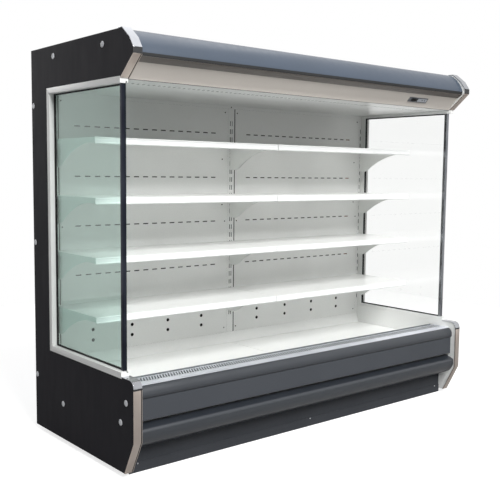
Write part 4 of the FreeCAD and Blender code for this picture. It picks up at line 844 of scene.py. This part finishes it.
# rear wall: cassettes side by side with folded seams, and rows of rivets
rearSizes = {"seams": (-750, -250, 250, 750), "seamWidth": 5, "seamDepth": 6, "edge": 1.2,
             "rivetRadius": 4.2, "rivetProud": 1.2, "rivetSides": 16, "rivetRound": 0.9,
             "rivetRows": (180, 660, 1140, 1620, 2040), "rivetPitch": 125}
rearLow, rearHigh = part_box("rear_wall")
rearFace = rearHigh.y - rearSizes["rivetProud"] * mm
cladding = startBox("rearCladding", rearLow, (rearHigh.x, rearFace, rearHigh.z))
for seam in rearSizes["seams"]:
    cutGroove(cladding, 0, seam * mm, rearSizes["seamWidth"] * mm, facing(0, 1, 0),
              rearSizes["seamDepth"] * mm)
softenEdges(cladding, rearSizes["edge"] * mm)
cladding.data.materials.append(galvanised)
# the cladding's inner face takes the dark primer as painted shade behind the back panels
cladding.data.materials.append(primerPaintedShade)
for face in cladding.data.polygons:
    face.material_index = 1 if face.normal.y < -sameWay else 0
finishPiece(cladding, galvanised, ["rear_wall"], keepSlots=True)
rivet = startDisc("rivet", rearSizes["rivetRadius"] * mm, rearSizes["rivetProud"] * mm,
                  rearSizes["rivetSides"])
pickFaces(rivet, pointsUp)
bpy.ops.mesh.bevel(offset=rearSizes["rivetRound"] * mm, segments=2)
makeActive(rivet)
bpy.ops.object.shade_smooth_by_angle(angle=radians(domeAngle))
rivetPlaces = []
rivetCount = int((rearHigh.x - rearLow.x) / (rearSizes["rivetPitch"] * mm))
for row in rearSizes["rivetRows"]:
    for count in range(rivetCount + 1):
        x = (count - rivetCount / 2) * rearSizes["rivetPitch"] * mm
        rivetPlaces.append(turned(x, rearFace, row * mm, "X", -90))
rivets = placeCopies(rivet, "rearRivets", rivetPlaces)
finishPiece(rivets, zincPlate, ["rear_wall"])
print("rear wall done:", len(rivetPlaces), "rivets")

# roof: three sheets with a seam between each two, and screws along the front and rear edges
roofSizes = {"seams": (-400, 400), "seamWidth": 4, "seamDepth": 1.5, "edge": 1.2,
             "screwProud": 1.8, "screwInset": 30, "screwPitch": 291, "screwsEachSide": 4, "screwTurn": 17}
roofLow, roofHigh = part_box("roof_panel")
roofTop = roofHigh.z - roofSizes["screwProud"] * mm
roof = startBox("roofSheets", roofLow, (roofHigh.x, roofHigh.y, roofTop))
for seam in roofSizes["seams"]:
    cutGroove(roof, 0, seam * mm, roofSizes["seamWidth"] * mm, facing(0, 0, 1), roofSizes["seamDepth"] * mm)
softenEdges(roof, roofSizes["edge"] * mm)
finishPiece(roof, galvanised, ["roof_panel"])
roofPlaces = []
for count in range(-roofSizes["screwsEachSide"], roofSizes["screwsEachSide"] + 1):
    for y in (roofLow.y + roofSizes["screwInset"] * mm, roofHigh.y - roofSizes["screwInset"] * mm):
        roofPlaces.append(turned(count * roofSizes["screwPitch"] * mm, y, roofTop, "Z",
                                 roofSizes["screwTurn"] * count))
roofScrews = placeCopies(panHead("roofScrew"), "roofScrews", roofPlaces)
finishPiece(roofScrews, zincPlate, ["roof_panel"])
print("roof done")

# terminal box: tray and lid with a shadow gap, and a gland for the cable
boxSizes = {"lid": 7, "gap": 1.2, "gapDepth": 1.5, "edge": 0.8}
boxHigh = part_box("electrical_box")[1]
terminal = copyNode("electrical_box", "terminalBox")
cutGroove(terminal, 2, boxHigh.z - boxSizes["lid"] * mm, boxSizes["gap"] * mm, facing(0, -1, 0),
          boxSizes["gapDepth"] * mm)
softenEdges(terminal, boxSizes["edge"] * mm)
finishPiece(terminal, greyAbs, ["electrical_box"])
print("terminal box done")


# floor, light and camera
def raysToCamera(tree):  # what the camera sees, straight or through glass
    rays = addNode(tree, "LightPath")
    clearRays = addNode(tree, "Math", {"operation": "MAXIMUM"},
                        {0: (rays, "Is Camera Ray"), 1: (rays, "Is Transmission Ray")})
    return rays, clearRays


floorSizes = {"side": 9, "colour": "#b9b9b9", "rough": 0.85, "shine": 0.1, "lift": 0.74}
clearSelection()
bpy.ops.mesh.primitive_plane_add(size=floorSizes["side"], location=(0, 0, 0))
floor = bpy.context.object
floor.name = "studioFloor"
# matt painted concrete: even and grey, with a lift that turns it near white to the camera
floorMaterial, tree, surface, place = startMaterial("paintedConcreteFloor", {
    "Base Color": hexColour(floorSizes["colour"]), "Roughness": floorSizes["rough"],
    "Specular IOR Level": floorSizes["shine"], "Emission Color": hexColour("#ffffff")})
rays, clearRays = raysToCamera(tree)
lift = addNode(tree, "Math", {"operation": "MULTIPLY", 1: floorSizes["lift"]}, {0: (clearRays, 0)})
tree.links.new(lift.outputs[0], surface.inputs["Emission Strength"])
floor.data.materials.append(floorMaterial)

skyLevels = {"light": 0.09, "shown": 1.0}  # on the object, and where the sky itself is seen
world = bpy.data.worlds.new("studioWorld")
bpy.context.scene.world = world
world.use_nodes = True
tree = world.node_tree
tree.nodes.clear()
rays, clearRays = raysToCamera(tree)
shownRays = addNode(tree, "Math", {"operation": "MAXIMUM"}, {0: (clearRays, 0), 1: (rays, "Is Glossy Ray")})
level = addNode(tree, "MapRange", {3: skyLevels["light"], 4: skyLevels["shown"]}, {0: (shownRays, 0)})
sky = addNode(tree, "Background", {"Color": hexColour("#ffffff")}, {"Strength": (level, 0)})
addNode(tree, "OutputWorld", {}, {"Surface": (sky, "Background")})

lamps = {
    "keyLamp": {"at": (-1.2, -6.4, 6.3), "size": 4.0, "power": 980},
    "frontLamp": {"at": (1.0, -8.5, 2.9), "size": 4.0, "power": 20},
    "topLamp": {"at": (0.5, 1.0, 6.5), "size": 5.0, "power": 70},
    "backLamp": {"at": (-1.5, 6.5, 3.6), "size": 4.0, "power": 130},
}
lampAim = Vector((0, 0, 1.0))
for lampName, lamp in lamps.items():
    light = bpy.data.lights.new(lampName, "AREA")
    light.shape = "SQUARE"
    light.size = lamp["size"]
    light.energy = lamp["power"]
    lampObject = bpy.data.objects.new(lampName, light)
    lampObject.location = lamp["at"]
    lampObject.rotation_euler = (lampAim - Vector(lamp["at"])).to_track_quat("-Z", "Y").to_euler()
    bpy.context.scene.collection.objects.link(lampObject)

view = {"at": (-3112.9, -3591.4, 1444.4), "yaw": -39.73, "pitch": -5.487, "roll": 0.6175,
        "lens": 56.8, "sensor": 36, "reach": 200}
yaw, pitch, roll = (radians(view[key]) for key in ("yaw", "pitch", "roll"))
ahead = Vector((-sin(yaw) * cos(pitch), cos(yaw) * cos(pitch), sin(pitch)))
across = Vector((cos(yaw), sin(yaw), 0))
above = across.cross(ahead)
acrossTurned = across * cos(roll) + above * sin(roll)
aboveTurned = above * cos(roll) - across * sin(roll)
camera = bpy.data.objects.new("photoCamera", bpy.data.cameras.new("photoCamera"))
camera.data.lens = view["lens"]
camera.data.sensor_width = view["sensor"]
camera.data.clip_end = view["reach"]
camera.matrix_world = Matrix((acrossTurned, aboveTurned, -ahead)).transposed().to_4x4()
camera.location = Vector(view["at"]) * mm
bpy.context.scene.collection.objects.link(camera)
bpy.context.scene.camera = camera
bpy.context.scene.view_settings.view_transform = "Standard"
